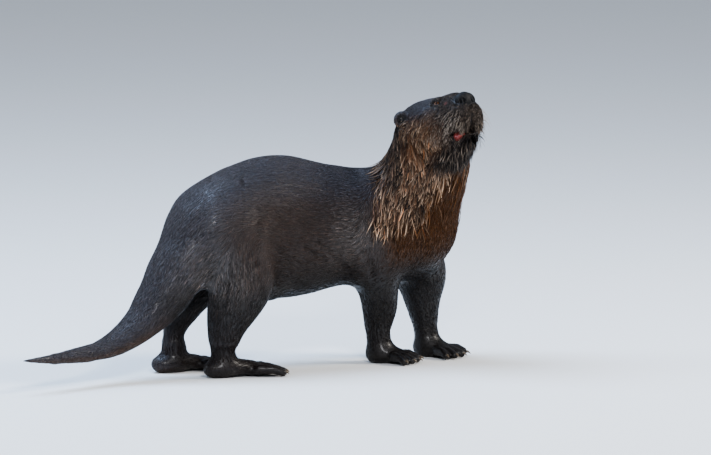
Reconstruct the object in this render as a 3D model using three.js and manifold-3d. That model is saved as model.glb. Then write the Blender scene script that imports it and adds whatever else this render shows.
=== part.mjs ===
// A life-size North American river otter, standing on all fours with its back arched,
// its head raised and turned to its right, and its tail trailing low behind.
// The whole animal is one blended field of sweeps and ellipsoids. Each named piece samples that
// field on a grid of its own and is parted from its neighbours by thin plane cuts.
// Units are millimetres, +Z is up, and the soles stand on z = 0.
import * as THREE from "three";
import Module from "manifold-3d";

const wasm = await Module();
wasm.setup();

// ---------- driving dimensions ----------
const GAP = 0.4; // between two pieces that meet
const SEAT_GAP = 1.2; // around a piece that sits in a seat of its own shape
const TRUNK_HEADING = 36; // degrees from the layout axes to the trunk
const CHEST_HEADING = -18;
const HEAD_YAW = -52; // the head is turned to the animal's right
const HEAD_PITCH = 26; // nose up
const NOSE_TIP = [214, 64, 353];
const EYE_RADIUS = 5.6;
const EYE_PLACE = [-41, 18, 6]; // left eye, in the head's own axes
const EAR_PLACE = [-89, 37.5, 1];
const ANKLE_HEIGHT = 33;
const HIND_FOOT = { length: 112, width: 60, toe: 40, toeWidth: 14, toeSpread: 13 };
const FORE_FOOT = { length: 70, width: 50, toe: 27, toeWidth: 13, toeSpread: 17 };

// ---------- colours ----------
const matte = (color, roughness) => new THREE.MeshStandardMaterial({ color, roughness, metalness: 0 });
const darkCoat = matte(0x3a302c, 0.45);
const paleCoat = matte(0x5e4635, 0.5);
const footSkin = matte(0x2b2320, 0.5);
const noseSkin = matte(0x1c1a1c, 0.3);
const eyeGloss = matte(0x120a06, 0.05);
const tonguePink = matte(0xb5403c, 0.3);

// ---------- vectors ----------
const radians = THREE.MathUtils.degToRad;
const vec = (p) => new THREE.Vector3(p[0], p[1], p[2]);
const sub = (p, q) => [p[0] - q[0], p[1] - q[1], p[2] - q[2]];
const dot = (p, q) => p[0] * q[0] + p[1] * q[1] + p[2] * q[2];
const unit = (p) => p.map((v) => v / Math.hypot(...p));
const mix = (p, q, w) => [p[0] + (q[0] - p[0]) * w, p[1] + (q[1] - p[1]) * w, p[2] + (q[2] - p[2]) * w];
const heading = (degrees) => [Math.cos(radians(degrees)), Math.sin(radians(degrees)), 0];
const rightOf = (degrees) => heading(degrees - 90);
const leftOf = (degrees) => heading(degrees + 90);

// Forward, left and up of something turned by yaw and pitched nose up, in degrees.
function axesOf(yaw, pitch) {
  const turn = new THREE.Euler(0, radians(-pitch), radians(yaw), "ZYX");
  return [[1, 0, 0], [0, 1, 0], [0, 0, 1]].map((a) => vec(a).applyEuler(turn).toArray());
}

// ---------- field helpers: a field is below zero inside, in millimetres ----------
const blend = (a, b, k) => {
  const h = Math.max(k - Math.abs(a - b), 0) / k;
  return Math.min(a, b) - (h * h * k) / 4;
};
const carve = (a, b, k) => -blend(-a, b, k);

// Distance to an ellipsoid, from the offset along its own axes.
function ellipsoidDistance(offset, radii) {
  const near = Math.hypot(offset[0] / radii[0], offset[1] / radii[1], offset[2] / radii[2]);
  const far = Math.hypot(offset[0] / radii[0] ** 2, offset[1] / radii[1] ** 2, offset[2] / radii[2] ** 2);
  return far < 1e-9 ? -Math.min(...radii) : (near * (near - 1)) / far;
}

function ellipsoid(centre, radii, yaw = 0, pitch = 0) {
  const axes = axesOf(yaw, pitch);
  return (p) => {
    const d = sub(p, centre);
    return ellipsoidDistance(axes.map((axis) => dot(d, axis)), radii);
  };
}

// A tube of elliptical section along a smooth curve through its stations.
// A station is [x, y, z, half width, half height]; the height lies along "top" where it can.
function sweep(stations, steps, top = [0, 0, 1]) {
  const smooth = (points) => new THREE.CatmullRomCurve3(points, false, "centripetal");
  const line = smooth(stations.map(vec));
  const sizes = smooth(stations.map(([, , z, a, b], i) => new THREE.Vector3(a, b, i)));
  const rings = Array.from({ length: steps + 1 }, (_, i) => {
    const along = line.getTangent(i / steps);
    const side = vec(top).cross(along).normalize();
    const up = along.clone().cross(side);
    const size = sizes.getPoint(i / steps);
    return {
      at: line.getPoint(i / steps).toArray(),
      axes: [along.toArray(), side.toArray(), up.toArray()],
      size: [size.x, size.y, 0],
    };
  });
  const links = rings.slice(1).map((end, i) => {
    const span = sub(end.at, rings[i].at);
    return { start: rings[i], end, span, square: dot(span, span) };
  });
  return (p) => {
    let nearest = Infinity;
    let found = null;
    let share = 0;
    for (const link of links) {
      const d = sub(p, link.start.at);
      const w = Math.min(1, Math.max(0, dot(d, link.span) / link.square));
      const away = sub(d, link.span.map((v) => v * w));
      const square = dot(away, away);
      if (square < nearest) {
        nearest = square;
        found = link;
        share = w;
      }
    }
    const { start, end } = found;
    const d = sub(p, mix(start.at, end.at, share));
    const [a, b] = mix(start.size, end.size, share);
    const offset = start.axes.map((axis, i) => dot(d, mix(axis, end.axes[i], share)));
    return ellipsoidDistance(offset, [Math.min(a, b), a, b]);
  };
}

// ---------- trunk, neck and tail ----------
const tailToChest = sweep([
  [-352, -186, 43, 3.5, 3.5],
  [-312, -140, 41, 8, 6.5],
  [-276, -101, 42, 13, 10],
  [-243, -67, 48, 19, 15],
  [-210, -38, 67, 26, 21],
  [-177, -11, 103, 35, 33],
  [-147, 14, 154, 44, 39],
  [-110, 44, 196, 55, 54],
  [-64, 80, 191, 67, 86],
  [-28, 106, 181, 71, 94],
  [12, 130, 178, 72, 87],
  [55, 154, 179, 70, 75],
  [105, 174, 174, 66, 71],
  [140, 174, 168, 58, 62],
], 100);
const neck = sweep([
  [138, 172, 182, 62, 60],
  [152, 166, 222, 58, 57],
  [165, 152, 262, 53, 52],
  [168, 138, 296, 46, 44],
], 24, heading(HEAD_YAW + 180));

// ---------- legs ----------
const CHEST_RIGHT = [98, 134, 150];
const CHEST_LEFT = [128, 208, 150];
const HIP_RIGHT = [-86, 32, 168];
const HIP_LEFT = [-128, 84, 168];
const shoulders = [CHEST_RIGHT, CHEST_LEFT].map((at) => ellipsoid(at, [40, 26, 58], CHEST_HEADING, -10));
const thighs = [HIP_RIGHT, HIP_LEFT].map((at) => ellipsoid(at, [50, 30, 62], TRUNK_HEADING, 16));
const stifleFolds = [HIP_RIGHT, HIP_LEFT].map(([x, y]) => // loose skin from the belly to the knee
  ellipsoid([x + 34, y + 22, 110], [40, 20, 25], TRUNK_HEADING, 14));
const legSweep = (stations) => sweep(stations, 30, [1, 0, 0]);
const legBones = [
  legSweep([ // right foreleg
    [102, 132, 160, 34, 34],
    [99, 138, 112, 34, 27],
    [102, 148, 74, 24, 25],
    [99, 150, 42, 17, 18],
    [102, 149, 16, 18, 16],
  ]),
  legSweep([ // left foreleg
    [132, 210, 155, 34, 34],
    [156, 217, 112, 32, 33],
    [156, 216, 74, 22, 26],
    [160, 215, 42, 17, 18],
    [164, 213, 16, 18, 16],
  ]),
  legSweep([ // right hind leg
    [-86, 30, 178, 38, 46],
    [-74, 20, 122, 32, 42],
    [-87, 8, 88, 28, 35],
    [-94, 4, 68, 24, 28],
    [-98, 1, 48, 20, 22],
    [-97, 3, 18, 20, 17],
  ]),
  legSweep([ // left hind leg
    [-128, 82, 178, 36, 42],
    [-126, 84, 124, 28, 36],
    [-150, 64, 84, 22, 26],
    [-163, 53, 46, 15, 15.5],
    [-160, 56, 18, 18, 15],
  ]),
];

// ---------- feet ----------
// A webbed foot of five toes, with its heel at the given place on the floor.
function foot(heel, yaw, size) {
  const place = (f, l, z) => [
    heel[0] + heading(yaw)[0] * f + leftOf(yaw)[0] * l,
    heel[1] + heading(yaw)[1] * f + leftOf(yaw)[1] * l,
    z,
  ];
  const knuckles = size.length - size.toe;
  const palm = sweep([
    [...place(11, 0, 11), 14, 12],
    [...place(knuckles * 0.55, 0, 12), size.width * 0.31, 12.5],
    [...place(knuckles * 0.95, 0, 8.5), size.width * 0.43, 9],
  ], 10);
  const web = sweep([
    [...place(knuckles * 0.9, 0, 6), size.width * 0.44, 5.5],
    [...place(knuckles + size.toe * 0.5, 0, 4.5), size.width * 0.54, 3.6],
  ], 6);
  const half = size.toeWidth / 2;
  const toes = [-2, -1, 0, 1, 2].map((i) => {
    const reach = size.toe * (1 - 0.055 * i * i);
    const fan = radians(i * size.toeSpread);
    const along = (share) =>
      [knuckles - 6 + reach * share * Math.cos(fan), i * size.width * 0.17 + reach * share * Math.sin(fan)];
    return sweep([
      [...place(...along(0), 9.5), half, half],
      [...place(...along(0.6), 8.5), half * 0.95, half],
      [...place(...along(1), 5), half * 0.85, half * 0.85],
    ], 6);
  });
  return (p) => {
    let d = blend(palm(p), web(p), 6);
    for (const toe of toes) d = blend(d, toe(p), 3);
    return d;
  };
}
const feet = [
  foot([88, 153], -14, FORE_FOOT),
  foot([149, 219], -24, FORE_FOOT),
  foot([-120, -10], 28, HIND_FOOT),
  foot([-186, 40], 34, HIND_FOOT),
];

// ---------- head, in its own axes: x forward from the nose tip, y left, z up ----------
const headAxes = axesOf(HEAD_YAW, HEAD_PITCH);
const toHead = (p) => headAxes.map((axis) => dot(sub(p, NOSE_TIP), axis));
const fromHead = (q) => NOSE_TIP.map((v, i) => v + headAxes[0][i] * q[0] + headAxes[1][i] * q[1] + headAxes[2][i] * q[2]);
const headNormal = (n) => headAxes[0].map((_, i) => headAxes[0][i] * n[0] + headAxes[1][i] * n[1] + headAxes[2][i] * n[2]);
const pair = (form) => (q) => form([q[0], Math.abs(q[1]), q[2]]);

const cranium = pair(ellipsoid([-78, 15, -9], [35, 25, 30]));
const forehead = ellipsoid([-44, 0, -1], [35, 23, 19], 0, -9);
const cheek = pair(ellipsoid([-62, 25, -17], [28, 19, 25], -14));
const muzzle = ellipsoid([-24, 0, -7], [23, 18, 19], 0, -10);
const whiskerPad = pair(ellipsoid([-17, 13, -23], [17, 13.5, 18], -10));
const throat = ellipsoid([-60, 0, -40], [38, 30, 23], 0, -6);
const chin = ellipsoid([-29, 0, -46], [23, 16, 9.5], 0, 3);
const brow = pair(ellipsoid([EYE_PLACE[0] - 1, EYE_PLACE[1] - 2.5, EYE_PLACE[2] + 5.5], [10, 6, 4.5]));
const eyeHollow = pair(ellipsoid([EYE_PLACE[0] + 3, EYE_PLACE[1] + 6.5, EYE_PLACE[2] + 0.5], [8, 4, 4.6]));
function headForm(q) {
  let d = blend(cranium(q), forehead(q), 14);
  d = blend(d, cheek(q), 16);
  d = blend(d, muzzle(q), 10);
  d = blend(d, whiskerPad(q), 8);
  d = blend(d, throat(q), 14);
  d = blend(d, chin(q), 8);
  d = blend(d, brow(q), 6);
  return carve(d, eyeHollow(q), 4);
}
const nostril = pair(ellipsoid([-1.5, 8.8, -2.5], [4, 3.4, 3]));
const nosePad = (q) => carve(ellipsoidDistance(sub(q, [-7, 0, -1.5]), [8, 16, 11.5]), nostril(q), 1.5);
const EAR_YAW = 36; // the bowl opens forwards and outwards
const earShell = ellipsoid([EAR_PLACE[0], EAR_PLACE[1] + 4, EAR_PLACE[2] + 5], [6.2, 11.5, 11.5], EAR_YAW);
const earBowl = ellipsoid([EAR_PLACE[0] + 4.6, EAR_PLACE[1] + 8, EAR_PLACE[2] + 5.5], [5.4, 8.6, 8.8], EAR_YAW);
const ear = (q, grow = 0) => (grow ? earShell(q) : carve(earShell(q), earBowl(q), 2));
const MOUTH_HEIGHT = -40;
const MOUTH_CORNER = [-52, 0, MOUTH_HEIGHT];
const MOUTH_OPEN = [5, -8]; // degrees, the upper and the lower lip's planes
const tongueForm = ellipsoid([-28, -7, MOUTH_HEIGHT - 2.5], [17, 9.5, 4.2], -42, -8);

// ---------- the whole body ----------
function bodyField(p) {
  let d = blend(tailToChest(p), neck(p), 18);
  for (const muscle of [...shoulders, ...thighs, ...stifleFolds]) d = blend(d, muscle(p), 24);
  for (const leg of legBones) d = blend(d, leg(p), 12);
  if (p[2] < 60) for (const f of feet) d = blend(d, f(p), 10);
  return p[2] > 200 ? blend(d, headForm(toHead(p)), 22) : d;
}

// ---------- meshing ----------
// Surface nets: one vertex in each grid cell that the surface crosses, drawn onto the surface.
function skinOf(field, [low, high], cell) {
  const count = low.map((v, i) => Math.ceil((high[i] - v) / cell) + 1);
  const at = (i, j, k) => [low[0] + i * cell, low[1] + j * cell, low[2] + k * cell];
  const index = (i, j, k) => i + count[0] * (j + count[1] * k);
  const values = new Float64Array(count[0] * count[1] * count[2]);
  for (let k = 0; k < count[2]; k++)
    for (let j = 0; j < count[1]; j++)
      for (let i = 0; i < count[0]; i++) {
        const rim = [i, j, k].some((v, axis) => v === 0 || v === count[axis] - 1);
        const value = field(at(i, j, k));
        values[index(i, j, k)] = rim ? Math.max(value, 0.05 * cell) : value;
      }
  const stride = [1, count[0], count[0] * count[1]];
  fillCheckerboards(values, count, stride, 0.05 * cell);
  const corners = [0, 1].flatMap((c) => [0, 1].flatMap((b) => [0, 1].map((a) => [a, b, c])));
  const edges = corners.flatMap((c, m) =>
    corners.flatMap((d, n) => (m < n && Math.hypot(...sub(c, d)) === 1 ? [[m, n]] : [])));
  const positions = [];
  const vertexOf = new Map();
  for (let k = 0; k < count[2] - 1; k++)
    for (let j = 0; j < count[1] - 1; j++)
      for (let i = 0; i < count[0] - 1; i++) {
        const v = corners.map(([a, b, c]) => values[index(i + a, j + b, k + c)]);
        const crossed = edges.filter(([m, n]) => v[m] < 0 !== v[n] < 0);
        if (!crossed.length) continue;
        const hits = crossed.map(([m, n]) => mix(corners[m], corners[n], v[m] / (v[m] - v[n])));
        const start = at(i, j, k);
        const mean = start.map((s, axis) => s + (cell * hits.reduce((sum, h) => sum + h[axis], 0)) / hits.length);
        vertexOf.set(index(i, j, k), positions.length / 3);
        positions.push(...drawOnto(field, mean, cell));
      }
  const triangles = [];
  for (let k = 0; k < count[2] - 1; k++)
    for (let j = 0; j < count[1] - 1; j++)
      for (let i = 0; i < count[0] - 1; i++)
        for (let axis = 0; axis < 3; axis++) {
          if ([i, j, k][(axis + 1) % 3] === 0 || [i, j, k][(axis + 2) % 3] === 0) continue;
          const here = index(i, j, k);
          const inside = values[here] < 0;
          if (inside === values[here + stride[axis]] < 0) continue;
          const u = stride[(axis + 1) % 3];
          const w = stride[(axis + 2) % 3];
          const quad = [here - u - w, here - w, here, here - u].map((cellIndex) => vertexOf.get(cellIndex));
          if (!inside) quad.reverse();
          triangles.push(quad[0], quad[1], quad[2], quad[0], quad[2], quad[3]);
        }
  return largest(new wasm.Manifold(new wasm.Mesh({
    numProp: 3,
    vertProperties: new Float32Array(positions),
    triVerts: new Uint32Array(triangles),
  })));
}

// A face of the grid whose corners alternate in and out would join four sheets along one edge,
// so its emptier corner is filled, until no such face is left.
function fillCheckerboards(values, count, stride, fill) {
  for (let changed = true; changed; ) {
    changed = false;
    for (let here = 0; here < values.length; here++) {
      const place = stride.map((step, axis) => Math.floor(here / step) % count[axis]);
      for (const [u, w] of [[0, 1], [1, 2], [2, 0]]) {
        if (place[u] === count[u] - 1 || place[w] === count[w] - 1) continue;
        const face = [here, here + stride[u], here + stride[u] + stride[w], here + stride[w]];
        const inside = face.map((corner) => values[corner] < 0);
        if (inside[0] !== inside[2] || inside[1] !== inside[3] || inside[0] === inside[1]) continue;
        const emptier = face.filter((corner) => values[corner] >= 0).sort((a, b) => values[a] - values[b]);
        values[emptier[0]] = -fill;
        changed = true;
      }
    }
  }
}

// Moves a point onto the field's zero surface, by at most half a cell.
function drawOnto(field, point, cell) {
  const step = 0.2;
  let p = point;
  for (let round = 0; round < 2; round++) {
    const value = field(p);
    const slope = [0, 1, 2].map((axis) => (field(p.map((v, i) => (i === axis ? v + step : v))) - value) / step);
    const steep = dot(slope, slope);
    if (steep < 1e-6) return p;
    p = p.map((v, axis) => v - (value * slope[axis]) / steep);
  }
  return Math.hypot(...sub(p, point)) < cell * 0.5 ? p : point;
}

const largest = (solid) => solid.decompose().reduce((a, b) => (b.volume() > a.volume() ? b : a));

// ---------- cutting ----------
// A cut is a plane by a point and a normal; a solid keeps what lies ahead of it or behind it.
const cut = (point, normal) => ({ point, normal: unit(normal) });
const ahead = (gap = GAP) => (solid, { point, normal }) => solid.trimByPlane(normal, dot(normal, point) + gap / 2);
const behind = (gap = GAP) => (solid, { point, normal }) =>
  solid.trimByPlane(normal.map((v) => -v), -dot(normal, point) + gap / 2);

const headCut = cut([152, 150, 284], [0.2, -0.28, 0.94]);
const neckCut = cut([122, 172, 214], [0.55, -0.2, 0.81]);
const rumpCut = cut([-158, 6, 144], [0.45, 0.42, 0.79]);
const midTailCut = cut([-216, -43, 62], [0.66, 0.58, 0.48]);
const tailTipCut = cut([-288, -114, 42], [0.68, 0.73, 0.05]);
const floorCut = cut([0, 0, -GAP / 2], [0, 0, 1]); // leaves the soles on z = 0
const ankleCut = cut([0, 0, ANKLE_HEIGHT], [0, 0, 1]);
const jawBackCut = cut(fromHead(MOUTH_CORNER), headNormal([1, 0, -0.25]));
const [upperLipCut, lowerLipCut] = MOUTH_OPEN.map((turn) =>
  cut(fromHead(MOUTH_CORNER), headNormal([-Math.sin(radians(turn)), 0, Math.cos(radians(turn))])));

// The plane that parts a leg from the trunk leans outwards and up from the groin.
const LEG_CUT_TILT = radians(50);
const legTop = (joint, outward) => cut(joint, [
  -outward[0] * Math.sin(LEG_CUT_TILT), -outward[1] * Math.sin(LEG_CUT_TILT), Math.cos(LEG_CUT_TILT)]);
const betweenForelegs = cut([129, 182, 60], [0.685, 0.73, 0]);
const betweenHindLegs = cut([-132, 28, 60], [-0.62, 0.78, 0]);
const foreBack = cut([62, 148, 100], [0.9, 0.42, 0]);
const hindBack = cut([-134, 0, 100], [0.6, 0.5, -0.45]);
const hindFront = cut([-44, 44, 100], heading(TRUNK_HEADING));
const legRegions = [
  { name: "foreleg_right", box: [[40, 70, 20], [190, 215, 230]], below: [legTop([98, 140, 134], rightOf(CHEST_HEADING)), betweenForelegs], above: [foreBack] },
  { name: "foreleg_left", box: [[70, 140, 20], [230, 270, 230]], below: [legTop([138, 212, 134], leftOf(CHEST_HEADING))], above: [foreBack, betweenForelegs] },
  { name: "hindleg_right", box: [[-170, -60, 20], [-10, 110, 240]], below: [legTop([-88, 26, 142], rightOf(TRUNK_HEADING)), hindFront, betweenHindLegs], above: [hindBack] },
  { name: "hindleg_left", box: [[-230, 10, 20], [-50, 150, 240]], below: [legTop([-128, 86, 142], leftOf(TRUNK_HEADING)), hindFront], above: [hindBack, betweenHindLegs] },
];
const footBoxes = {
  forefoot_right: [[66, 100, -12], [172, 190, 46]],
  forefoot_left: [[130, 160, -12], [236, 254, 46]],
  hindfoot_right: [[-142, -48, -12], [4, 84, 46]],
  hindfoot_left: [[-208, 4, -12], [-62, 134, 46]],
};

// ---------- assemble ----------
const otter = new THREE.Group();
function addPiece(name, solid, material) {
  const { numProp, numVert, vertProperties, triVerts } = largest(solid).getMesh();
  const positions = new Float32Array(numVert * 3);
  for (let i = 0; i < numVert; i++) positions.set(vertProperties.subarray(i * numProp, i * numProp + 3), i * 3);
  const geometry = new THREE.BufferGeometry()
    .setAttribute("position", new THREE.BufferAttribute(positions, 3))
    .setIndex(new THREE.BufferAttribute(triVerts, 1));
  geometry.computeVertexNormals();
  const piece = new THREE.Mesh(geometry, material);
  piece.name = name;
  otter.add(piece);
}
const trimmed = (solid, below, above, gap) =>
  above.reduce(ahead(gap), below.reduce(behind(gap), solid));

// trunk, with the legs' regions cut away
const block = skinOf((p) => Math.max(...p.map(Math.abs)) - 900, [[-1000, -1000, -1000], [1000, 1000, 1000]], 180);
const withoutLegs = (solid) =>
  legRegions.reduce((rest, leg) => rest.subtract(trimmed(block, leg.below, leg.above, -GAP)), solid);
addPiece("trunk", withoutLegs(trimmed(skinOf(bodyField, [[-200, -50, 58], [240, 270, 300]], 25), [neckCut], [rumpCut])), darkCoat);

for (const leg of legRegions)
  addPiece(leg.name, trimmed(skinOf(bodyField, leg.box, 15), leg.below, [...leg.above, ankleCut]), darkCoat);
for (const [name, box] of Object.entries(footBoxes))
  addPiece(name, trimmed(skinOf(bodyField, box, 8.8), [ankleCut], [floorCut]), footSkin);

addPiece("neck", trimmed(skinOf(bodyField, [[60, 60, 140], [250, 260, 350]], 18), [headCut], [neckCut]), paleCoat);
addPiece("tail_root", withoutLegs(trimmed(skinOf(bodyField, [[-262, -90, 20], [-90, 90, 230]], 17), [rumpCut], [midTailCut])), darkCoat);
addPiece("tail_middle", trimmed(skinOf(bodyField, [[-310, -140, 14], [-180, -10, 110]], 11.5), [midTailCut], [tailTipCut]), darkCoat);
addPiece("tail_tip", trimmed(skinOf(bodyField, [[-372, -206, 26], [-270, -96, 62]], 6.4), [tailTipCut], []), darkCoat);

// head: eyes, ears, nose and tongue sit in seats cut a gap wider than themselves
const HEAD_BOX = [[90, 30, 236], [262, 216, 392]];
const inHead = (form, grow = 0) => (p) => form(toHead(p), grow) - grow;
const boxAround = (q, r) => [fromHead(q).map((v) => v - r), fromHead(q).map((v) => v + r)];
const formIn = (form, place, reach, cell) => (grow) => skinOf(inHead(form, grow), boxAround(place, reach), cell);
const seated = [
  { name: "nose", make: formIn(nosePad, [-7, 0, 0], 22, 4.3), material: noseSkin },
  { name: "ear_left", make: formIn(ear, EAR_PLACE, 28, 3.9), material: darkCoat },
  { name: "ear_right", make: formIn((q, grow) => ear([q[0], -q[1], q[2]], grow), [EAR_PLACE[0], -EAR_PLACE[1], EAR_PLACE[2]], 28, 3.9), material: darkCoat },
  { name: "tongue", make: formIn(tongueForm, [-26, -5, MOUTH_HEIGHT], 30, 4.8), material: tonguePink },
];
let head = skinOf(bodyField, HEAD_BOX, 9.8);
head = trimmed(head, [], [headCut]);
for (const { name, make, material } of seated) {
  addPiece(name, make(0), material);
  head = head.subtract(make(SEAT_GAP));
}
for (const [name, side] of [["eye_left", 1], ["eye_right", -1]]) {
  const place = fromHead([EYE_PLACE[0], EYE_PLACE[1] * side, EYE_PLACE[2]]);
  const eyeField = (radius) => skinOf((p) => Math.hypot(...sub(p, place)) - radius,
    [place.map((v) => v - 9), place.map((v) => v + 9)], 3);
  addPiece(name, eyeField(EYE_RADIUS), eyeGloss);
  head = head.subtract(eyeField(EYE_RADIUS + SEAT_GAP));
}
addPiece("jaw", trimmed(head, [lowerLipCut], [jawBackCut]), paleCoat);
addPiece("head", head.subtract(trimmed(block, [upperLipCut], [jawBackCut], -GAP)), darkCoat);

// The trunk lies along +X and the origin is on the floor below the middle of the animal.
otter.rotation.z = radians(-TRUNK_HEADING);
otter.updateMatrixWorld(true);
const reach = new THREE.Box3().setFromObject(otter, true);
const middle = reach.getCenter(new THREE.Vector3());
otter.position.set(-middle.x, -middle.y, 0);

export default otter;
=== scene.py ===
import math
import time

import bmesh
import bpy
import numpy as np
from mathutils import Euler, Matrix, Vector
from mathutils.bvhtree import BVHTree


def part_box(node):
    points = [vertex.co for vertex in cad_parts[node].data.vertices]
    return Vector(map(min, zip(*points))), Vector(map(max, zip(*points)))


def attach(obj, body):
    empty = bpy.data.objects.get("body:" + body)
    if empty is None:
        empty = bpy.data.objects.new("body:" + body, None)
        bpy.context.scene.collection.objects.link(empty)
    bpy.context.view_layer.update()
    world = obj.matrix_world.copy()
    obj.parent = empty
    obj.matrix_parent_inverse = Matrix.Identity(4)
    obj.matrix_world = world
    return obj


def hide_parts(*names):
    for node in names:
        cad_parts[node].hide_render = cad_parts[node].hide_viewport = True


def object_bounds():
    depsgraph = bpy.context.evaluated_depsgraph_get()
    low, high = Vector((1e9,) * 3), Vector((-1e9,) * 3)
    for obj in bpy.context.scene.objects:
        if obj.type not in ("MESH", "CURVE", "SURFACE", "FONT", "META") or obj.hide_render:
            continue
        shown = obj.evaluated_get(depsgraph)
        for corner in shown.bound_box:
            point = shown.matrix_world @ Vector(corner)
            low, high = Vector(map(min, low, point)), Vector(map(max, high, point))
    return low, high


# A wet river otter on all fours, looking round to its right. Metres, +X forward, +Z up.
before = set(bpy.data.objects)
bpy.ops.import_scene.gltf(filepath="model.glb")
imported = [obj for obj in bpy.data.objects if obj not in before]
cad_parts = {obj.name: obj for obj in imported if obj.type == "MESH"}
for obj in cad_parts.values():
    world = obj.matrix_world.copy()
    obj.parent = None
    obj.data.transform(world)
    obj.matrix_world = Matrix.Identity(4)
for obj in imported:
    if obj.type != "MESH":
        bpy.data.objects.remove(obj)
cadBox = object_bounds()
cadLow, cadHigh = np.array(cadBox[0]), np.array(cadBox[1])
scene = bpy.context.scene
startTime = time.time()


def report(stage):
    print(f"{stage} at {time.time() - startTime:.1f} s")


# Meshes and materials
def addObject(name, data):
    piece = bpy.data.objects.new(name, data)
    scene.collection.objects.link(piece)
    return piece


def readArray(items, key, width=1, kind=float):
    values = np.empty(len(items) * width, kind)
    items.foreach_get(key, values)
    return values.reshape(-1, width) if width > 1 else values


def readPoints(mesh):
    return readArray(mesh.vertices, "co", 3)


def readNormals(mesh):
    return readArray(mesh.vertices, "normal", 3)


def writePoints(mesh, points):
    mesh.vertices.foreach_set("co", points.ravel())
    mesh.update()


def storeValues(mesh, name, kind, key, values):
    mesh.attributes.new(name, kind, "POINT").data.foreach_set(key, values.ravel())


def meshFromArrays(name, points, blocks, material):  # the polygons in a block have as many corners each
    mesh = bpy.data.meshes.new(name)
    loops = np.concatenate([block.ravel() for block in blocks])
    sizes = np.concatenate([np.full(len(block), block.shape[1]) for block in blocks])
    mesh.vertices.add(len(points))
    mesh.vertices.foreach_set("co", points.ravel())
    mesh.loops.add(len(loops))
    mesh.loops.foreach_set("vertex_index", loops)
    mesh.polygons.add(len(sizes))
    mesh.polygons.foreach_set("loop_start", np.cumsum(sizes) - sizes)
    mesh.polygons.foreach_set("use_smooth", np.ones(len(sizes), bool))
    mesh.update(calc_edges=True)
    mesh.materials.append(material)
    return addObject(name, mesh)


def applied(piece):
    graph = bpy.context.evaluated_depsgraph_get()
    graph.update()
    mesh = bpy.data.meshes.new_from_object(piece.evaluated_get(graph))
    old = piece.data
    piece.modifiers.clear()
    piece.data = mesh
    mesh.name = piece.name
    bpy.data.meshes.remove(old)
    return piece


def finishPiece(piece, slot, *nodes):
    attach(piece, "root")
    if nodes:
        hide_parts(*nodes)
    return piece


def feed(tree, node, inputs):  # an input takes a value, or the output that drives it
    for key, value in dict(inputs).items():
        if isinstance(value, bpy.types.NodeSocket):
            tree.links.new(value, node.inputs[key])
        else:
            node.inputs[key].default_value = value


def addNode(tree, kind, inputs=(), **settings):
    node = tree.nodes.new(kind)
    for key, value in settings.items():
        setattr(node, key, value)
    feed(tree, node, inputs)
    return node


def nodeAdder(tree, family):  # adds nodes of one family and hands back their outputs
    def add(kind, inputs=(), **settings):
        return addNode(tree, family + kind, inputs, **settings).outputs
    return add


def newGroup(name, kind, inputs, outputs):  # the sockets are name: kind
    tree = bpy.data.node_groups.new(name, kind)
    for side, sockets in (("INPUT", inputs), ("OUTPUT", outputs)):
        for key, socket in sockets.items():
            tree.interface.new_socket(key, in_out=side, socket_type="NodeSocket" + socket)
    return tree, addNode(tree, "NodeGroupInput").outputs, addNode(tree, "NodeGroupOutput")


def principled(name, values):
    material = bpy.data.materials.new(name)
    material.use_nodes = True
    tree = material.node_tree
    shader = tree.nodes["Principled BSDF"]
    feed(tree, shader, values)
    return material, tree, shader


# Camera, floor and light
studio = {
    "azimuth": -36.0,
    "elevation": 7.0,
    "distance": 28.0,
    "frameWidth": 0.910,  # how much of the scene the picture takes in, across
    "aim": (0.150, -0.023, 0.183),
    "floorColor": (0.80, 0.80, 0.79, 1),
    "floorSize": 60,
    "skyColor": (0.80, 0.87, 1.0, 1),
    "skyStrength": 0.42,
    "lampAim": (0, 0, 0.15),
    "lamps": {  # place, size, power, colour
        "overhead": ((-0.5, 0.8, 2.6), 1.8, 116, (0.54, 0.72, 1.0)),
        "keySide": ((2.0, -1.2, 1.7), 0.7, 54, (1.0, 0.94, 0.86)),
        "nearSide": ((-1.3, -2.7, 1.8), 0.5, 70, (0.98, 0.98, 1.0)),
        "rearEdge": ((-2.2, 1.8, 1.6), 1.0, 28, (0.80, 0.90, 1.0)),
    },
}


def placeCamera(plan):
    turn, rise = math.radians(plan["azimuth"]), math.radians(plan["elevation"])
    back = Vector((math.sin(turn) * math.cos(rise), -math.cos(turn) * math.cos(rise), math.sin(rise)))
    data = bpy.data.cameras.new("studioCamera")
    data.sensor_width = 36.0
    data.lens = data.sensor_width * plan["distance"] / plan["frameWidth"]
    data.clip_end = 120.0
    camera = addObject("studioCamera", data)
    camera.location = Vector(plan["aim"]) + back * plan["distance"]
    camera.rotation_euler = back.to_track_quat("Z", "Y").to_euler()
    scene.camera = camera


def makeStudio(plan):
    floorPaint = principled("floorPaint", {
        "Base Color": plan["floorColor"], "Roughness": 0.8, "Specular IOR Level": 0.2})[0]
    corners = np.array([(-1, -1, 0), (1, -1, 0), (1, 1, 0), (-1, 1, 0)]) * plan["floorSize"]
    meshFromArrays("studioFloor", corners.astype(float), [np.array([(0, 1, 2, 3)])], floorPaint)
    scene.view_settings.look = "AgX - Medium High Contrast"
    scene.world = bpy.data.worlds.new("softSky")
    scene.world.use_nodes = True
    sky = scene.world.node_tree
    feed(sky, sky.nodes["Background"], {"Color": plan["skyColor"], "Strength": plan["skyStrength"]})
    for name, (place, size, power, color) in plan["lamps"].items():
        data = bpy.data.lights.new(name, "AREA")
        data.size, data.energy, data.color = size, power, color
        lamp = addObject(name, data)
        lamp.location = place
        lamp.rotation_euler = (Vector(place) - Vector(plan["lampAim"])).to_track_quat("Z", "Y").to_euler()


placeCamera(studio)
makeStudio(studio)
report("studio")


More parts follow.
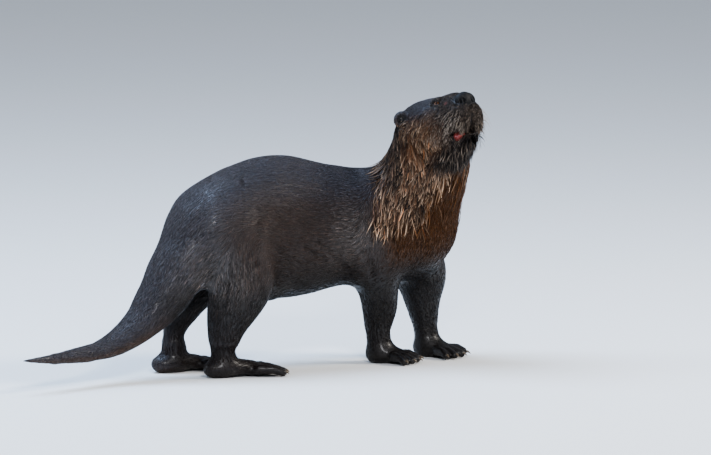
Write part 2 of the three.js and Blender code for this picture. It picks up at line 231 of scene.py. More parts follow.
# Where things are
# The solids were laid out in millimetres on a plan turned by trunkTurn; the eyes tie it to the frame.
plan = {
    "trunkTurn": -36.0,
    "headYaw": -52.0,
    "headPitch": 26.0,
    "noseTip": (214.0, 64.0, 353.0),
}
eyePlace = np.array((-41.0, 18.0, 6.0))  # in the head's axes: forward, left, up from the nose tip
chestWay = np.array((0.951, -0.309, 0))
turnPlan = np.array(Matrix.Rotation(math.radians(plan["trunkTurn"]), 3, "Z"))


def turnedAxes(yaw=0.0, pitch=0.0):
    return np.array(Euler((0, -math.radians(pitch), math.radians(yaw)), "XYZ").to_matrix())


headAxes = turnPlan @ turnedAxes(plan["headYaw"], plan["headPitch"])
eyeMiddle = sum(np.array(corner) for name in ("eye_left", "eye_right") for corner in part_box(name)) / 4
headOrigin = eyeMiddle - headAxes @ np.array((eyePlace[0], 0, eyePlace[2])) / 1000
planOrigin = headOrigin - turnPlan @ np.array(plan["noseTip"]) / 1000


def toHead(points):  # metres in the frame to millimetres in the head's axes
    return (np.asarray(points) - headOrigin) @ headAxes * 1000


def fromHead(points):
    return headOrigin + (np.asarray(points, float) / 1000) @ headAxes.T


def toPlan(points):
    return (np.asarray(points) - planOrigin) @ turnPlan * 1000


def fromPlan(points):
    return planOrigin + (np.asarray(points, float) / 1000) @ turnPlan.T


def alongChest(p):
    return chestWay[0] * p[:, 0] + chestWay[1] * p[:, 1]


def mirrored(q):
    return np.column_stack((q[:, 0], np.abs(q[:, 1]), q[:, 2]))


def lengthOf(vectors):
    return np.linalg.norm(vectors, axis=1)


def unit(vectors):
    return vectors / np.maximum(np.linalg.norm(vectors, axis=1, keepdims=True), 1e-6)


def ramp(values, low, high):
    share = np.clip((values - low) / (high - low), 0, 1)
    return share * share * (3 - 2 * share)


def closeTo(q, place, inner, outer, shape=(1, 1, 1)):  # one within inner of the place, none beyond outer
    return ramp(-lengthOf((q - place) / shape), -outer, -inner)


# Fields: below zero inside, in millimetres
def blendFields(a, b, k):
    h = np.maximum(k - np.abs(a - b), 0) / k
    return np.minimum(a, b) - h * h * k / 4


def carveField(a, b, k):
    return -blendFields(-a, b, k)


def ellipsoidField(q, centre, radii, yaw=0.0, pitch=0.0):
    offset = (q - np.array(centre)) @ turnedAxes(yaw, pitch)
    near = lengthOf(offset / radii)
    far = lengthOf(offset / np.array(radii) ** 2)
    return near * (near - 1) / np.maximum(far, 1e-9)


def taperField(q, start, end, startRadius, endRadius):
    start, end = np.array(start, float), np.array(end, float)
    span = end - start
    along = np.clip(((q - start) @ span) / (span @ span), 0, 1)
    return lengthOf(q - start - along[:, None] * span) - (startRadius + (endRadius - startRadius) * along)


def creaseDepth(q, start, end, width, depth):  # a soft fold along a line
    return depth * np.exp(-(np.maximum(taperField(q, start, end, 0, 0), 0) / width) ** 2)


def drawOnto(field, points, weights, rounds=5, step=0.15, limit=1.2):
    # moves points down the field's slope to its zero surface, a share of the way given by weights
    for _ in range(rounds):
        value = field(points)
        slope = np.column_stack([field(points + axis * step) - value for axis in np.eye(3)]) / step
        move = -(value / np.maximum((slope ** 2).sum(1), 0.05))[:, None] * slope
        length = np.linalg.norm(move, axis=1, keepdims=True)
        move *= np.minimum(1, limit / np.maximum(length, 1e-9))
        points = points + move * weights[:, None]
    return points


# The head's shape
face = {
    "lidRadius": 6.5,
    "eyeAim": (0.52, 0.80, 0.30),
    "lidsAlong": (0.86, -0.46, -0.22),
    "aperture": (5.4, 2.45),  # half length and half height of the open eye
    "lidRaise": 0.25,
    "lidBow": 0.02,
    "noseRadii": (8.0, 16.0, 11.5),
    "nostril": (-0.8, 8.6, -3.2),
    "nostrilRadii": (8.0, 4.2, 3.5),
    "mouthHeight": -41.5,
    "mouthCorner": -46.0,
    "mouthOpen": 4.6,  # half of the opening at the front
    "mouthDepth": 10.0,
    "mouthHeart": (-36.0, 0.0, -41.0),
}
nosePlace = np.array((-7.0, 0.0, -1.5))
earPlace = np.array((-89.0, 41.5, 6.0))
earBowl = earPlace + (4, 3.5, 0)
eyeOut = np.array(face["eyeAim"]) / np.linalg.norm(face["eyeAim"])
eyeAlong = np.array(face["lidsAlong"])  # towards the nose, along the lids
eyeAlong -= eyeOut * (eyeAlong @ eyeOut)
eyeAlong /= np.linalg.norm(eyeAlong)
eyeUp = np.cross(eyeOut, eyeAlong)


def openEyes(q):  # pushes the skin between the lids in behind the eyeball
    a, b = face["aperture"]
    offset = mirrored(q) - eyePlace
    x, y, rise = offset @ eyeAlong, offset @ eyeUp, offset @ eyeOut
    almond = np.hypot(x / a, (y - face["lidRaise"] + face["lidBow"] * x ** 2) / b) - 1
    push = (1 - ramp(almond, -0.24, 0.02)) * np.maximum(rise - 1.0, 0) * (rise < 14)
    moved = offset - push[:, None] * eyeOut + eyePlace
    moved[:, 1] *= np.where(q[:, 1] < 0, -1.0, 1.0)
    return moved


def mouthDepth(q):  # how far the skin is folded in between the lips
    corner = face["mouthCorner"]
    reach = np.clip((q[:, 0] - corner) / (-8 - corner), 0, 1.2)
    middle = face["mouthHeight"] + 7.5 * (1 - reach) ** 2
    share = np.abs(q[:, 2] - middle) / (0.5 + (face["mouthOpen"] - 0.5) * ramp(reach, 0.1, 0.75))
    depth = 1.5 + (face["mouthDepth"] - 1.5) * ramp(reach, 0, 0.5)
    return depth * (1 - ramp(share, 0.5, 1.15)) * ramp(q[:, 0], corner - 2, corner + 3)


headForms = [  # bridge, cheeks, snout, lip pads, jaw, chin: centre, radii, yaw, pitch, blend
    ((-44, 0, -1), (35, 23, 19), 0, -9, 14),
    ((-62, 25, -17), (28, 19, 25), -14, 0, 16),
    ((-24, 0, -7), (23, 18, 19), 0, -10, 12),
    ((-18, 12, -22), (18, 14, 18), -10, 0, 15),
    ((-60, 0, -40), (38, 30, 23), 0, -6, 14),
    ((-29, 0, -46), (23, 16, 9.5), 0, 3, 8),
]


def headField(q):
    m = mirrored(q)
    d = ellipsoidField(m, (-78, 15, -9), (35, 25, 30))  # skull and temples
    for centre, radii, yaw, pitch, blend in headForms:
        d = blendFields(d, ellipsoidField(m, centre, radii, yaw, pitch), blend)
    neckEnds = toHead(fromPlan([(152, 166, 222), (168, 138, 296)]))
    d = blendFields(d, taperField(q, neckEnds[0], neckEnds[1], 57.5, 45), 22)
    d += 1.2  # the skin lies under the coat
    # folds: under the eye, from the nose's wing, behind the mouth, down the lip and over the eye
    d += creaseDepth(m, (-33, 22, -4), (-47, 27, -7), 2.6, 0.9)
    d += creaseDepth(m, (-6, 16.5, -8), (-24, 22.5, -12), 2.6, 1.0)
    d += creaseDepth(m, (-46, 26, -28), (-57, 31, -42), 4.0, 1.6)
    d += creaseDepth(q, (0, 0, -9), (-5, 0, -36), 1.5, 1.3)
    d += creaseDepth(m, eyePlace + (5, 4, 0), eyePlace + (-2, 8, 0), 7.0, 2.4)
    # brow and lids
    d = blendFields(d, ellipsoidField(m, eyePlace + (-1, -2.0, 5.6), (9, 6, 3.6), 20), 5)
    d = blendFields(d, lengthOf(m - eyePlace) - face["lidRadius"], 4)
    # bed of the nose, with room behind the nostrils
    d = carveField(d, ellipsoidField(q, nosePlace, np.array(face["noseRadii"]) - 1.2), 1.5)
    d = carveField(d, ellipsoidField(m, face["nostril"], np.array(face["nostrilRadii"]) + 0.9, 20), 1.0)
    # ears: a cupped shell, open forwards and outwards
    d = blendFields(d, ellipsoidField(m, earPlace, (5.0, 10.6, 10.8), 36), 4)
    return carveField(d, ellipsoidField(m, earPlace + (4.6, 4.2, 0.2), (5.2, 8.4, 8.6), 36), 1.6)


# The feet's shape
feet = [  # heel on the plan, heading there, size, foot of the leg that stands on it
    {"heel": (88, 153), "turn": -14, "kind": "fore", "ankle": ((99, 150, 46), (102, 149, 16))},
    {"heel": (149, 219), "turn": -24, "kind": "fore", "ankle": ((159, 215, 46), (164, 213, 16))},
    {"heel": (-120, -10), "turn": 28, "kind": "hind", "ankle": ((-100, 0, 46), (-97, 3, 18))},
    {"heel": (-186, 40), "turn": 34, "kind": "hind", "ankle": ((-163, 53, 46), (-160, 56, 18))},
]
footSizes = {
    "fore": {"length": 70, "width": 50, "toe": 27, "toeWidth": 12.5, "spread": 17, "claw": 4.6,
             "clawBulk": 1},
    "hind": {"length": 112, "width": 60, "toe": 40, "toeWidth": 13, "spread": 13, "claw": 4.6,
             "clawBulk": 1.15},
}
toes = range(-2, 3)


def toFoot(p, foot):
    turn = math.radians(foot["turn"])
    x, y = p[:, 0] - foot["heel"][0], p[:, 1] - foot["heel"][1]
    return np.column_stack((x * math.cos(turn) + y * math.sin(turn),
                            y * math.cos(turn) - x * math.sin(turn), p[:, 2]))


def fromFoot(local, foot):
    turn = math.radians(foot["turn"])
    x, y, z = np.asarray(local, float).T
    return np.column_stack((foot["heel"][0] + x * math.cos(turn) - y * math.sin(turn),
                            foot["heel"][1] + x * math.sin(turn) + y * math.cos(turn), z))


def toeLine(size, index):
    knuckles = size["length"] - size["toe"]
    reach = size["toe"] * (1 - 0.055 * index * index)
    fan = math.radians(index * size["spread"])
    return [(knuckles - 6 + reach * s * math.cos(fan),
             index * size["width"] * 0.17 + reach * s * math.sin(fan), z)
            for s, z in ((0, 10.0), (0.55, 9.8), (0.97, 5.4))]


def footField(p, foot):
    size = footSizes[foot["kind"]]
    local = toFoot(p, foot)
    knuckles, width, toe = size["length"] - size["toe"], size["width"], size["toe"]
    thick = size["toeWidth"] / 2
    ankle = [toFoot(np.array([end], float), foot)[0] for end in foot["ankle"]]
    d = ellipsoidField(local, (15, 0, 10.5), (16, 13.5, 11.5))
    half = knuckles * 0.5
    d = blendFields(d, ellipsoidField(local, (half, 0, 12), (half, width * 0.31, 11.5)), 10)
    d = blendFields(d, ellipsoidField(local, (knuckles * 0.93, 0, 8.5), (15, width * 0.42, 8.5)), 8)
    d = blendFields(d, taperField(local, ankle[0], ankle[1], 15.5, 16), 10)
    for index in toes:
        start, middle, end = toeLine(size, index)
        d = blendFields(d, np.minimum(taperField(local, start, middle, thick, thick * 0.92),
                                      taperField(local, middle, end, thick * 0.92, thick * 0.8)), 2.2)
    web = ellipsoidField(local, (knuckles + toe * 0.16, 0, 6), (toe * 0.5, width * 0.5, 3.4))
    return np.maximum(blendFields(d, web, 3) + 0.5, 0.3 - local[:, 2])


def tailTipField(p):
    tip = taperField(p, (-349, -183, 44.4), (-312, -140, 41.6), 1.3, 6.2)
    return blendFields(tip, taperField(p, (-312, -140, 41.6), (-262, -87, 43), 6.2, 12.0), 3)


flankFolds = [  # ends on the right flank, forward and up on the plan, with width and depth
    ((-50, 196), (-54, 146), 6.0, 1.3), ((-54, 146), (-46, 104), 6.0, 1.5),
    ((-92, 118), (-100, 92), 6.0, 1.6), ((8, 160), (34, 142), 3.4, 1.3), ((24, 166), (52, 148), 3.4, 1.2),
    ((40, 150), (62, 128), 3.6, 1.3), ((86, 150), (94, 118), 5.0, 1.8), ((-74, 251), (-72, 246), 1.9, 1.5),
    ((-133, 181), (-131, 176), 1.9, 1.5), ((-20, 120), (10, 112), 4.0, 1.2),
]


def foldDepth(p):  # in millimetres; only the side that faces right is folded
    flat = np.column_stack((p[:, 0], np.zeros(len(p)), p[:, 2]))
    middle = np.interp(p[:, 0], (-180, -148, -64, 12, 105), (-12, 14, 80, 130, 174))
    depth = sum(creaseDepth(flat, (start[0], 0, start[1]), (end[0], 0, end[1]), width, deep)
                for start, end, width, deep in flankFolds)
    return depth * ramp(middle - p[:, 1], 0, 25)


# The skin
skinPlan = {
    "voxel": 0.0031,
    "coatDepth": 0.0012,
    "shade": 0.8,  # how much darker the skin is than the coat over it
    "smoothRounds": 44,
    "seals": {"ear": 0.0014, "nose": 0.0014, "eye": 0.0014, "tail_tip": 0.0012},  # closes thin gaps
    "seal": 0.0004,
    "mouthFill": (-28, 0, -41),  # closes the mouth while the skin is wrapped
    "mouthFillRadii": (22, 17, 9),
}
fleshNodes = [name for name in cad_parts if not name.startswith(("eye", "nose", "tongue"))]


def joinedFlesh(settings):
    sheet = bmesh.new()
    for name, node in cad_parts.items():
        if name == "tongue":
            continue
        part = bmesh.new()
        part.from_mesh(node.data)
        bmesh.ops.remove_doubles(part, verts=part.verts, dist=1e-6)
        part.normal_update()
        seal = next((v for key, v in settings["seals"].items() if name.startswith(key)), settings["seal"])
        for vert in part.verts:
            vert.co += vert.normal * seal
        copy = bpy.data.meshes.new("part")
        part.to_mesh(copy)
        part.free()
        sheet.from_mesh(copy)
        bpy.data.meshes.remove(copy)
    place = Matrix.Translation(fromHead([settings["mouthFill"]])[0]) @ Matrix(headAxes.tolist()).to_4x4()
    bmesh.ops.create_icosphere(sheet, subdivisions=3, radius=0.001,
                               matrix=place @ Matrix.Diagonal((*settings["mouthFillRadii"], 1)))
    mesh = bpy.data.meshes.new("otterSkin")
    sheet.to_mesh(mesh)
    sheet.free()
    return addObject("otterSkin", mesh)


def readEdges(mesh):
    return readArray(mesh.edges, "vertices", 2, int)


def edgesAmong(mesh, chosen):  # edges between the chosen points, numbered as they are chosen
    order = np.full(len(mesh.vertices), -1)
    order[chosen] = np.arange(len(chosen))
    edges = order[readEdges(mesh)]
    return edges[(edges >= 0).all(axis=1)]


def smoothed(points, edges, weights, rounds):
    count = len(points)
    valence = np.bincount(edges.ravel(), minlength=count)[:, None].clip(1)

    def settle(field):
        for _ in range(rounds):
            total = np.column_stack([
                np.bincount(edges[:, 0], field[edges[:, 1], axis], count)
                + np.bincount(edges[:, 1], field[edges[:, 0], axis], count) for axis in range(3)])
            field = field + (total / valence - field) * 0.5 * weights[:, None]
        return field
    once = settle(points)
    return once + settle(points - once)  # gives back the bulk that smoothing took


def keepLargest(mesh):  # drops crumbs that the wrapping leaves at thin ends
    edges = readEdges(mesh)
    label = np.arange(len(mesh.vertices))
    before = None
    while before is None or (label != before).any():
        before = label.copy()
        low = np.minimum(label[edges[:, 0]], label[edges[:, 1]])
        np.minimum.at(label, edges[:, 0], low)
        np.minimum.at(label, edges[:, 1], low)
        label = label[label]
    crumbs = np.flatnonzero(label != np.bincount(label).argmax())
    sheet = bmesh.new()
    sheet.from_mesh(mesh)
    sheet.verts.ensure_lookup_table()
    bmesh.ops.delete(sheet, geom=[sheet.verts[i] for i in crumbs.tolist()], context="VERTS")
    sheet.to_mesh(mesh)
    sheet.free()


def subdivideWhere(mesh, test):  # the test takes centres in the head's axes, mirrored, and on the plan
    sheet = bmesh.new()
    sheet.from_mesh(mesh)
    centres = np.array([f.calc_center_median() for f in sheet.faces])
    chosen = np.flatnonzero(test(mirrored(toHead(centres)), toPlan(centres)))
    sheet.faces.ensure_lookup_table()
    edges = {edge for index in chosen for edge in sheet.faces[index].edges}
    bmesh.ops.subdivide_edges(sheet, edges=list(edges), cuts=1, use_grid_fill=True)
    sheet.to_mesh(mesh)
    sheet.free()


def onFinePart(m, p):
    eye = lengthOf(m - eyePlace) < 11
    ear = lengthOf(m - earPlace) < 15
    lips = (np.abs(m[:, 2] - face["mouthHeight"] - 2) < 7) & (m[:, 0] > -52)
    nose = lengthOf((m - nosePlace) / (1, 1.2, 1)) < 15
    return (eye | ear | lips | nose) & (p[:, 2] > 268)


def onFoot(m, p):
    places = [((f["heel"][0] + f["ankle"][1][0]) / 2, (f["heel"][1] + f["ankle"][1][1]) / 2) for f in feet]
    near = np.min([np.hypot(p[:, 0] - x, p[:, 1] - y) for x, y in places], axis=0) < 115
    return near & (p[:, 2] < 24)


def wrappedSkin(settings):  # one sheet around the solids, smoothed, and sunk by the coat's depth
    skin = joinedFlesh(settings)
    remesh = skin.modifiers.new("wrap", "REMESH")
    remesh.mode = "VOXEL"
    remesh.voxel_size = settings["voxel"]
    mesh = applied(skin).data
    keepLargest(mesh)
    report(f"skin wrapped, {len(mesh.polygons)} faces")
    points = readPoints(mesh)
    p = toPlan(points)
    inHead = ramp(toHead(points)[:, 0], -122, -96) * ramp(p[:, 2], 250, 286)
    lowFoot = 1 - ramp(p[:, 2], 30, 48)
    tail = 1 - ramp(p[:, 0], -240, -200)
    tip = 1 - ramp(p[:, 0], -335, -280)
    weights = (1 - 0.85 * inHead) * (1 - 0.9 * lowFoot * (1 - tail)) * (1 - 0.4 * tail) * (1 - 0.75 * tip)
    points = smoothed(points, readEdges(mesh), weights, settings["smoothRounds"])
    writePoints(mesh, points)
    depth = settings["coatDepth"] * (1 - inHead) * (1 - 0.6 * tip) + foldDepth(p) / 1000
    writePoints(mesh, points - readNormals(mesh) * depth[:, None])
    report("skin smoothed")
    return skin


def shapeHead(mesh, points):
    q = toHead(points)
    near = np.flatnonzero((q[:, 0] > -124) & (toPlan(points)[:, 2] > 248))
    weights = ramp(q[near, 0], -122, -96) * ramp(toPlan(points[near])[:, 2], 250, 286)
    edges = edgesAmong(mesh, near)
    q = drawOnto(headField, q[near], weights)
    m = mirrored(q)
    fussy = np.maximum(closeTo(m, eyePlace, 10, 13), closeTo(m, earPlace, 15, 18))
    q = drawOnto(headField, smoothed(q, edges, fussy, 3), weights, 3)
    inward = (np.array(face["mouthHeart"]) - q) * (1, 1, 0)
    depth = mouthDepth(q)
    q = openEyes(q + unit(inward) * depth[:, None])
    points[near] = fromHead(smoothed(q, edges, (depth > 0.2) * 0.6, 2))


def shapeFeet(points):
    for foot in feet:
        p = toPlan(points)
        local = toFoot(p, foot)
        reach = footSizes[foot["kind"]]["length"] + 14
        near = np.flatnonzero((p[:, 2] < 46) & (local[:, 0] > -14) & (local[:, 0] < reach)
                              & (np.abs(local[:, 1]) < 44))
        weights = 1 - ramp(p[near, 2], 30, 46)
        points[near] = fromPlan(drawOnto(lambda at: footField(at, foot), p[near], weights))


def shapeTailTip(mesh, points):
    p = toPlan(points)
    near = np.flatnonzero(p[:, 0] < -256)
    weights = 1 - ramp(p[near, 0], -300, -256)
    drawn = drawOnto(tailTipField, p[near], weights, 10)
    points[near] = fromPlan(smoothed(drawn, edgesAmong(mesh, near), weights * 0.5, 2))


def makeSkin(settings):
    skin = wrappedSkin(settings)
    mesh = skin.data
    subdivideWhere(mesh, lambda m, p: (m[:, 0] > -102) & (p[:, 2] > 270))
    subdivideWhere(mesh, onFinePart)
    subdivideWhere(mesh, lambda m, p: lengthOf(m - eyePlace) < 8.5)
    subdivideWhere(mesh, onFoot)
    report(f"head and feet refined, {len(mesh.polygons)} faces")
    points = readPoints(mesh)
    shapeHead(mesh, points)
    shapeFeet(points)
    shapeTailTip(mesh, points)
    points[:, 2] = points[:, 2].clip(0.0002)
    writePoints(mesh, points)
    mesh.polygons.foreach_set("use_smooth", np.ones(len(mesh.polygons), bool))
    report("head and feet shaped")
    return skin


# The lie of the coat: it runs down the body's lines, and back over the head
bodyLines = {  # place on the plan, thickness there, heading of the body
    "spine": [
        (-352, -186, 43, 5, 50), (-276, -101, 42, 12, 48), (-210, -38, 67, 24, 42),
        (-148, 14, 156, 42, 38), (-110, 44, 196, 55, 36), (-64, 80, 192, 76, 36), (-28, 106, 182, 82, 36),
        (12, 130, 178, 80, 36), (55, 154, 177, 74, 30), (105, 174, 174, 68, 5), (140, 174, 176, 60, -18),
        (152, 166, 222, 57, -24), (165, 152, 262, 52, -34), (168, 138, 296, 45, -46),
        (180, 112, 325, 34, -52), (205, 76, 343, 22, -52)],
    "foreRight": [
        (102, 132, 160, 34, -18), (92, 138, 112, 27, -16), (100, 148, 74, 23, -14),
        (99, 150, 42, 18, -14), (104, 149, 12, 22, -14), (150, 137, 8, 22, -14)],
    "foreLeft": [
        (132, 210, 155, 34, -18), (149, 217, 112, 30, -20), (155, 216, 74, 23, -24),
        (160, 215, 42, 18, -24), (166, 213, 12, 22, -24), (205, 194, 8, 22, -24)],
    "hindRight": [
        (-86, 30, 178, 42, 36), (-74, 20, 122, 37, 32), (-92, 4, 74, 27, 30), (-98, 1, 42, 20, 28),
        (-97, 3, 14, 20, 28), (-38, 34, 8, 26, 28)],
    "hindLeft": [
        (-128, 82, 178, 40, 36), (-126, 84, 124, 32, 36), (-150, 64, 84, 24, 34), (-163, 53, 42, 16, 34),
        (-160, 56, 14, 20, 34), (-106, 90, 8, 26, 34)],
}
headLie = np.array([  # place in the head's axes, and the way the hair runs there
    (-70, 0, 22, -1, 0, -0.05), (-30, 0, 12, -1, 0, 0.1), (-12, 0, 10, -1, 0, 0.2),
    (-85, 26, 8, -0.96, 0.12, -0.3), (-52, 22, 12, -0.97, 0.1, -0.1), (-41, 25, 2, -1, 0.1, -0.2),
    (-60, 38, -12, -0.85, 0.1, -0.55), (-80, 38, -28, -0.72, 0, -0.7), (-60, 32, -38, -0.6, 0, -0.8),
    (-26, 20, -8, -0.92, 0.35, -0.25), (-14, 20, -20, -0.66, 0.5, -0.6), (-20, 24, -30, -0.62, 0.3, -0.8),
    (-4, 8, -26, -0.1, 0.45, -0.9), (-36, 24, -30, -0.7, 0.1, -0.72), (-2, 3, -18, 0, 0.3, -1),
    (-20, 10, -52, -0.6, 0.1, -0.8), (-8, 0, -48, -0.2, 0, -1), (-50, 14, -60, -0.75, 0, -0.6),
    (-88, 0, -45, -0.55, 0, -0.85),
]).reshape(-1, 2, 3)
lineStep = 14


def lineData(lines):
    rows = []
    for owner, (name, stations) in enumerate(lines.items()):
        travel = 0.0
        for start, end in zip(np.array(stations, float), np.array(stations[1:], float)):
            span = end[:3] - start[:3]
            length = np.linalg.norm(span)
            way = span / (-length if name == "spine" else length)
            steps = max(2, int(length / lineStep))
            for t in (np.arange(steps) + 0.5) / steps:
                place = start * (1 - t) + end * t
                turn = math.radians(place[4])
                side = (-math.sin(turn), math.cos(turn), 0)
                rows.append((place[:3], place[3], way, side, travel + length * t, owner))
            travel += length
    return [np.array(values) for values in zip(*rows)]


linePlaces, lineRadii, lineWays, lineSides, lineSpans, lineOwners = lineData(bodyLines)


def gaps(p, places):  # distance from every point to every place
    square = (p ** 2).sum(1)[:, None] + (places ** 2).sum(1)[None] - 2 * p @ places.T
    return np.sqrt(np.maximum(square, 0))


def coatLie(p, normals):  # unit tangents on the plan for places p with outward normals
    weights = 1 / ((gaps(p, linePlaces) / lineRadii) ** 8 + 1e-6)
    lie = weights @ lineWays / weights.sum(1, keepdims=True)
    forward = alongChest(p)
    falls = (ramp(forward, 34, 56) * ramp(p[:, 2], 112, 150))[:, None]
    down = np.array((-0.16, 0.03, -1.0)) + np.array((-0.5, 0.1, 0)) * ramp(62 - forward, 0, 30)[:, None]
    lie = lie * (1 - falls) + down * falls
    q = toHead(fromPlan(p))
    weights = 1 / (gaps(mirrored(q), headLie[:, 0]) ** 4 + 200)
    over = weights @ headLie[:, 1] / weights.sum(1, keepdims=True)
    over[:, 1] *= np.where(q[:, 1] < 0, -1.0, 1.0)
    over = over @ headAxes.T @ turnPlan
    share = (ramp(q[:, 0], -118, -88) * ramp(p[:, 2], 262, 288))[:, None]
    lie = lie * (1 - share) + over * share
    return unit(lie - normals * (lie * normals).sum(1, keepdims=True))


def lineOffset(p):  # from the nearest body line: its number, its span there, and along, across and up
    near = (gaps(p, linePlaces) / lineRadii).argmin(1)
    offset = p - linePlaces[near]
    side, way = lineSides[near], lineWays[near]
    return (lineOwners[near], lineSpans[near], (offset * way).sum(1), (offset * side).sum(1),
            (offset * np.cross(way, side)).sum(1))


def bakePlace(p):  # where a place lies on the body's own unwrap, laid out line by line
    owner, span, along, across, up = lineOffset(p)
    angle = np.arctan2(across, up) / math.tau + 0.5
    along = span + along * np.where(owner == 0, -1, 1)
    u = np.where(owner == 0, 0.02 + along.clip(0, 1180) / 1180 * 0.96,
                 (owner - 1) * 0.25 + 0.01 + angle * 0.22)
    v = np.where(owner == 0, 0.02 + angle * 0.62, 0.68 + along.clip(0, 330) / 330 * 0.30)
    return np.column_stack((u, v))


def strandPlace(p):  # across, around and along the nearest body line, for streaks that run with the hair
    owner, span, along, across, up = lineOffset(p)
    return np.column_stack((across, up, along + span * np.where(owner == 0, -1, 1)))


# Colours by place, the same on the skin and on the coat; some are painted light: a painted blue sky
# reflection on the top, painted shade under the body, on the legs, under the jaw and in the ears, and a
# painted highlight on the wet thigh and shoulder
hues = {
    # the top of the body: dark coat with a painted blue sky reflection
    "back": (0.021, 0.0178, 0.0215),
    "flank": (0.022, 0.0115, 0.0075),
    # the reddish-brown underside, darkened with painted shade under the body
    "shadedBelly": (0.011, 0.005, 0.0025),
    # dark coat with a painted blue sky reflection
    "rump": (0.024, 0.0200, 0.0235),
    # the legs' own dark coat, darkened further with painted shade on their lower part
    "leg": (0.0030, 0.0016, 0.0011),
    "hindLow": (0.008, 0.003, 0.0017),
    "neck": (0.036, 0.0175, 0.0090),
    "nape": (0.012, 0.0065, 0.0045),
    "throat": (0.074, 0.027, 0.0050),
    # top of the head: dark coat with a painted blue sky reflection
    "crown": (0.022, 0.0187, 0.0225),
    "cheek": (0.050, 0.022, 0.0095),
    "muzzle": (0.0095, 0.0053, 0.0037),
    # painted shade under the jaw
    "chin": (0.007, 0.004, 0.0027),
    "lips": (0.006, 0.0035, 0.003),
    # tail: dark coat with a painted blue sky reflection
    "tailTop": (0.026, 0.0222, 0.026),
    "tailUnder": (0.034, 0.017, 0.010),
    # painted shade in the hollow of the ear
    "earBowl": (0.004, 0.0024, 0.0016),
    # painted highlight: a paler grey-brown for the wet shine on the thigh and shoulder
    "sheen": (0.052, 0.046, 0.043),
    "eyeRing": (0.008, 0.005, 0.004),
    "raw": (0.12, 0.034, 0.028),
}
rawSpots = [(-48, -27, -9), (-36, -22, -13), (-21, -19, 1), (-29, -24, -21)]  # bare marks, right cheek
glossAndPaintedHighlightSpots = [((-104, 0, 136), 42), ((74, 104, 178), 32)]  # where the wet coat shines most, and where a painted highlight and painted glints are laid on it, on the plan


# weight of those spots: it lowers the roughness there and lays the painted highlight and painted glints
def glossAndPaintedHighlightAt(points):
    p = toPlan(points)
    shine = [np.exp(-(lengthOf((p - np.array(place)) * (1, 0.5, 1)) / size) ** 2)
             for place, size in glossAndPaintedHighlightSpots]
    return np.clip(np.sum(shine, axis=0), 0, 1)


def throatShare(p, n):
    forward, front = alongChest(p), n @ np.array((0.86, -0.5, -0.08))
    return (ramp(forward, 62, 92) * ramp(front, 0.5, 0.82) * ramp(p[:, 2], 118, 175)
            * ramp(-p[:, 2], -300, -282))


def coatColor(points, normals):
    p, q = toPlan(points), toHead(points)
    m = mirrored(q)
    n = normals @ turnPlan
    # starts from the back's colour, whose painted blue sky reflection stays where the skin faces up
    color = np.tile(np.array(hues["back"]), (len(p), 1))

    def lay(hue, share):
        color[:] += (np.array(hues[hue]) - color) * np.clip(share, 0, 1)[:, None]
    neck = ramp(alongChest(p), 46, 68) * ramp(p[:, 2], 158, 212)
    tail = 1 - ramp(p[:, 0], -196, -150)
    head = ramp(q[:, 0], -112, -92) * ramp(p[:, 2], 262, 285)
    lay("flank", ramp(-n[:, 2], -0.75, -0.1))
    # painted blue sky reflection over the whole rump
    lay("rump", 1 - ramp(p[:, 0], -110, -70))
    # painted shade: the parts that face down get the darkened underside colour
    lay("shadedBelly", ramp(-n[:, 2], -0.1, 0.7))
    # painted shade: the legs darken towards the floor
    lay("leg", (1 - ramp(p[:, 2], 95, 150)) * 0.9)
    lay("hindLow", (1 - ramp(p[:, 2], 40, 95)) * (1 - ramp(p[:, 0], -40, 0)) * 0.6)
    # painted highlight on the wet thigh and shoulder, on the sides that face right
    lay("sheen", 0.6 * glossAndPaintedHighlightAt(points) * ramp(-n[:, 1], 0.1, 0.7))
    lay("neck", neck)
    lay("nape", neck * ramp(-(n @ chestWay), -0.1, 0.8))
    lay("throat", throatShare(p, n))
    # painted blue sky reflection over the tail
    lay("tailTop", tail)
    lay("tailUnder", tail * ramp(-n[:, 2], -0.2, 0.5))
    # painted blue sky reflection on the top of the head
    lay("crown", head * ramp(q[:, 2], -14, 6))
    lay("cheek", head * (1 - ramp(q[:, 2] + 0.25 * (q[:, 0] + 60), -24, 10)))
    lay("muzzle", head * ramp(q[:, 0], -50, -28))
    # painted shade on the underside of the jaw
    lay("chin", head * (1 - ramp(q[:, 2], -50, -40)) * ramp(q[:, 0], -70, -40))
    for spot in rawSpots:
        lay("raw", head * closeTo(q, np.array(spot), 1.2, 3.2))
    lay("eyeRing", head * closeTo(m, eyePlace, 8.0, 11.5))
    # painted shade in the ear's cup
    lay("earBowl", head * closeTo(m, earBowl, 5.5, 8.5))
    lay("lips", head * ramp(mouthDepth(q), 0.5, 3))
    lay("lips", head * closeTo(m, nosePlace, 12.5, 15, (1, 1.4, 1)))
    return color


def storeColor(mesh, colors):
    values = np.column_stack((colors, glossAndPaintedHighlightAt(readPoints(mesh))))
    storeValues(mesh, "coatColor", "FLOAT_COLOR", "color", values)


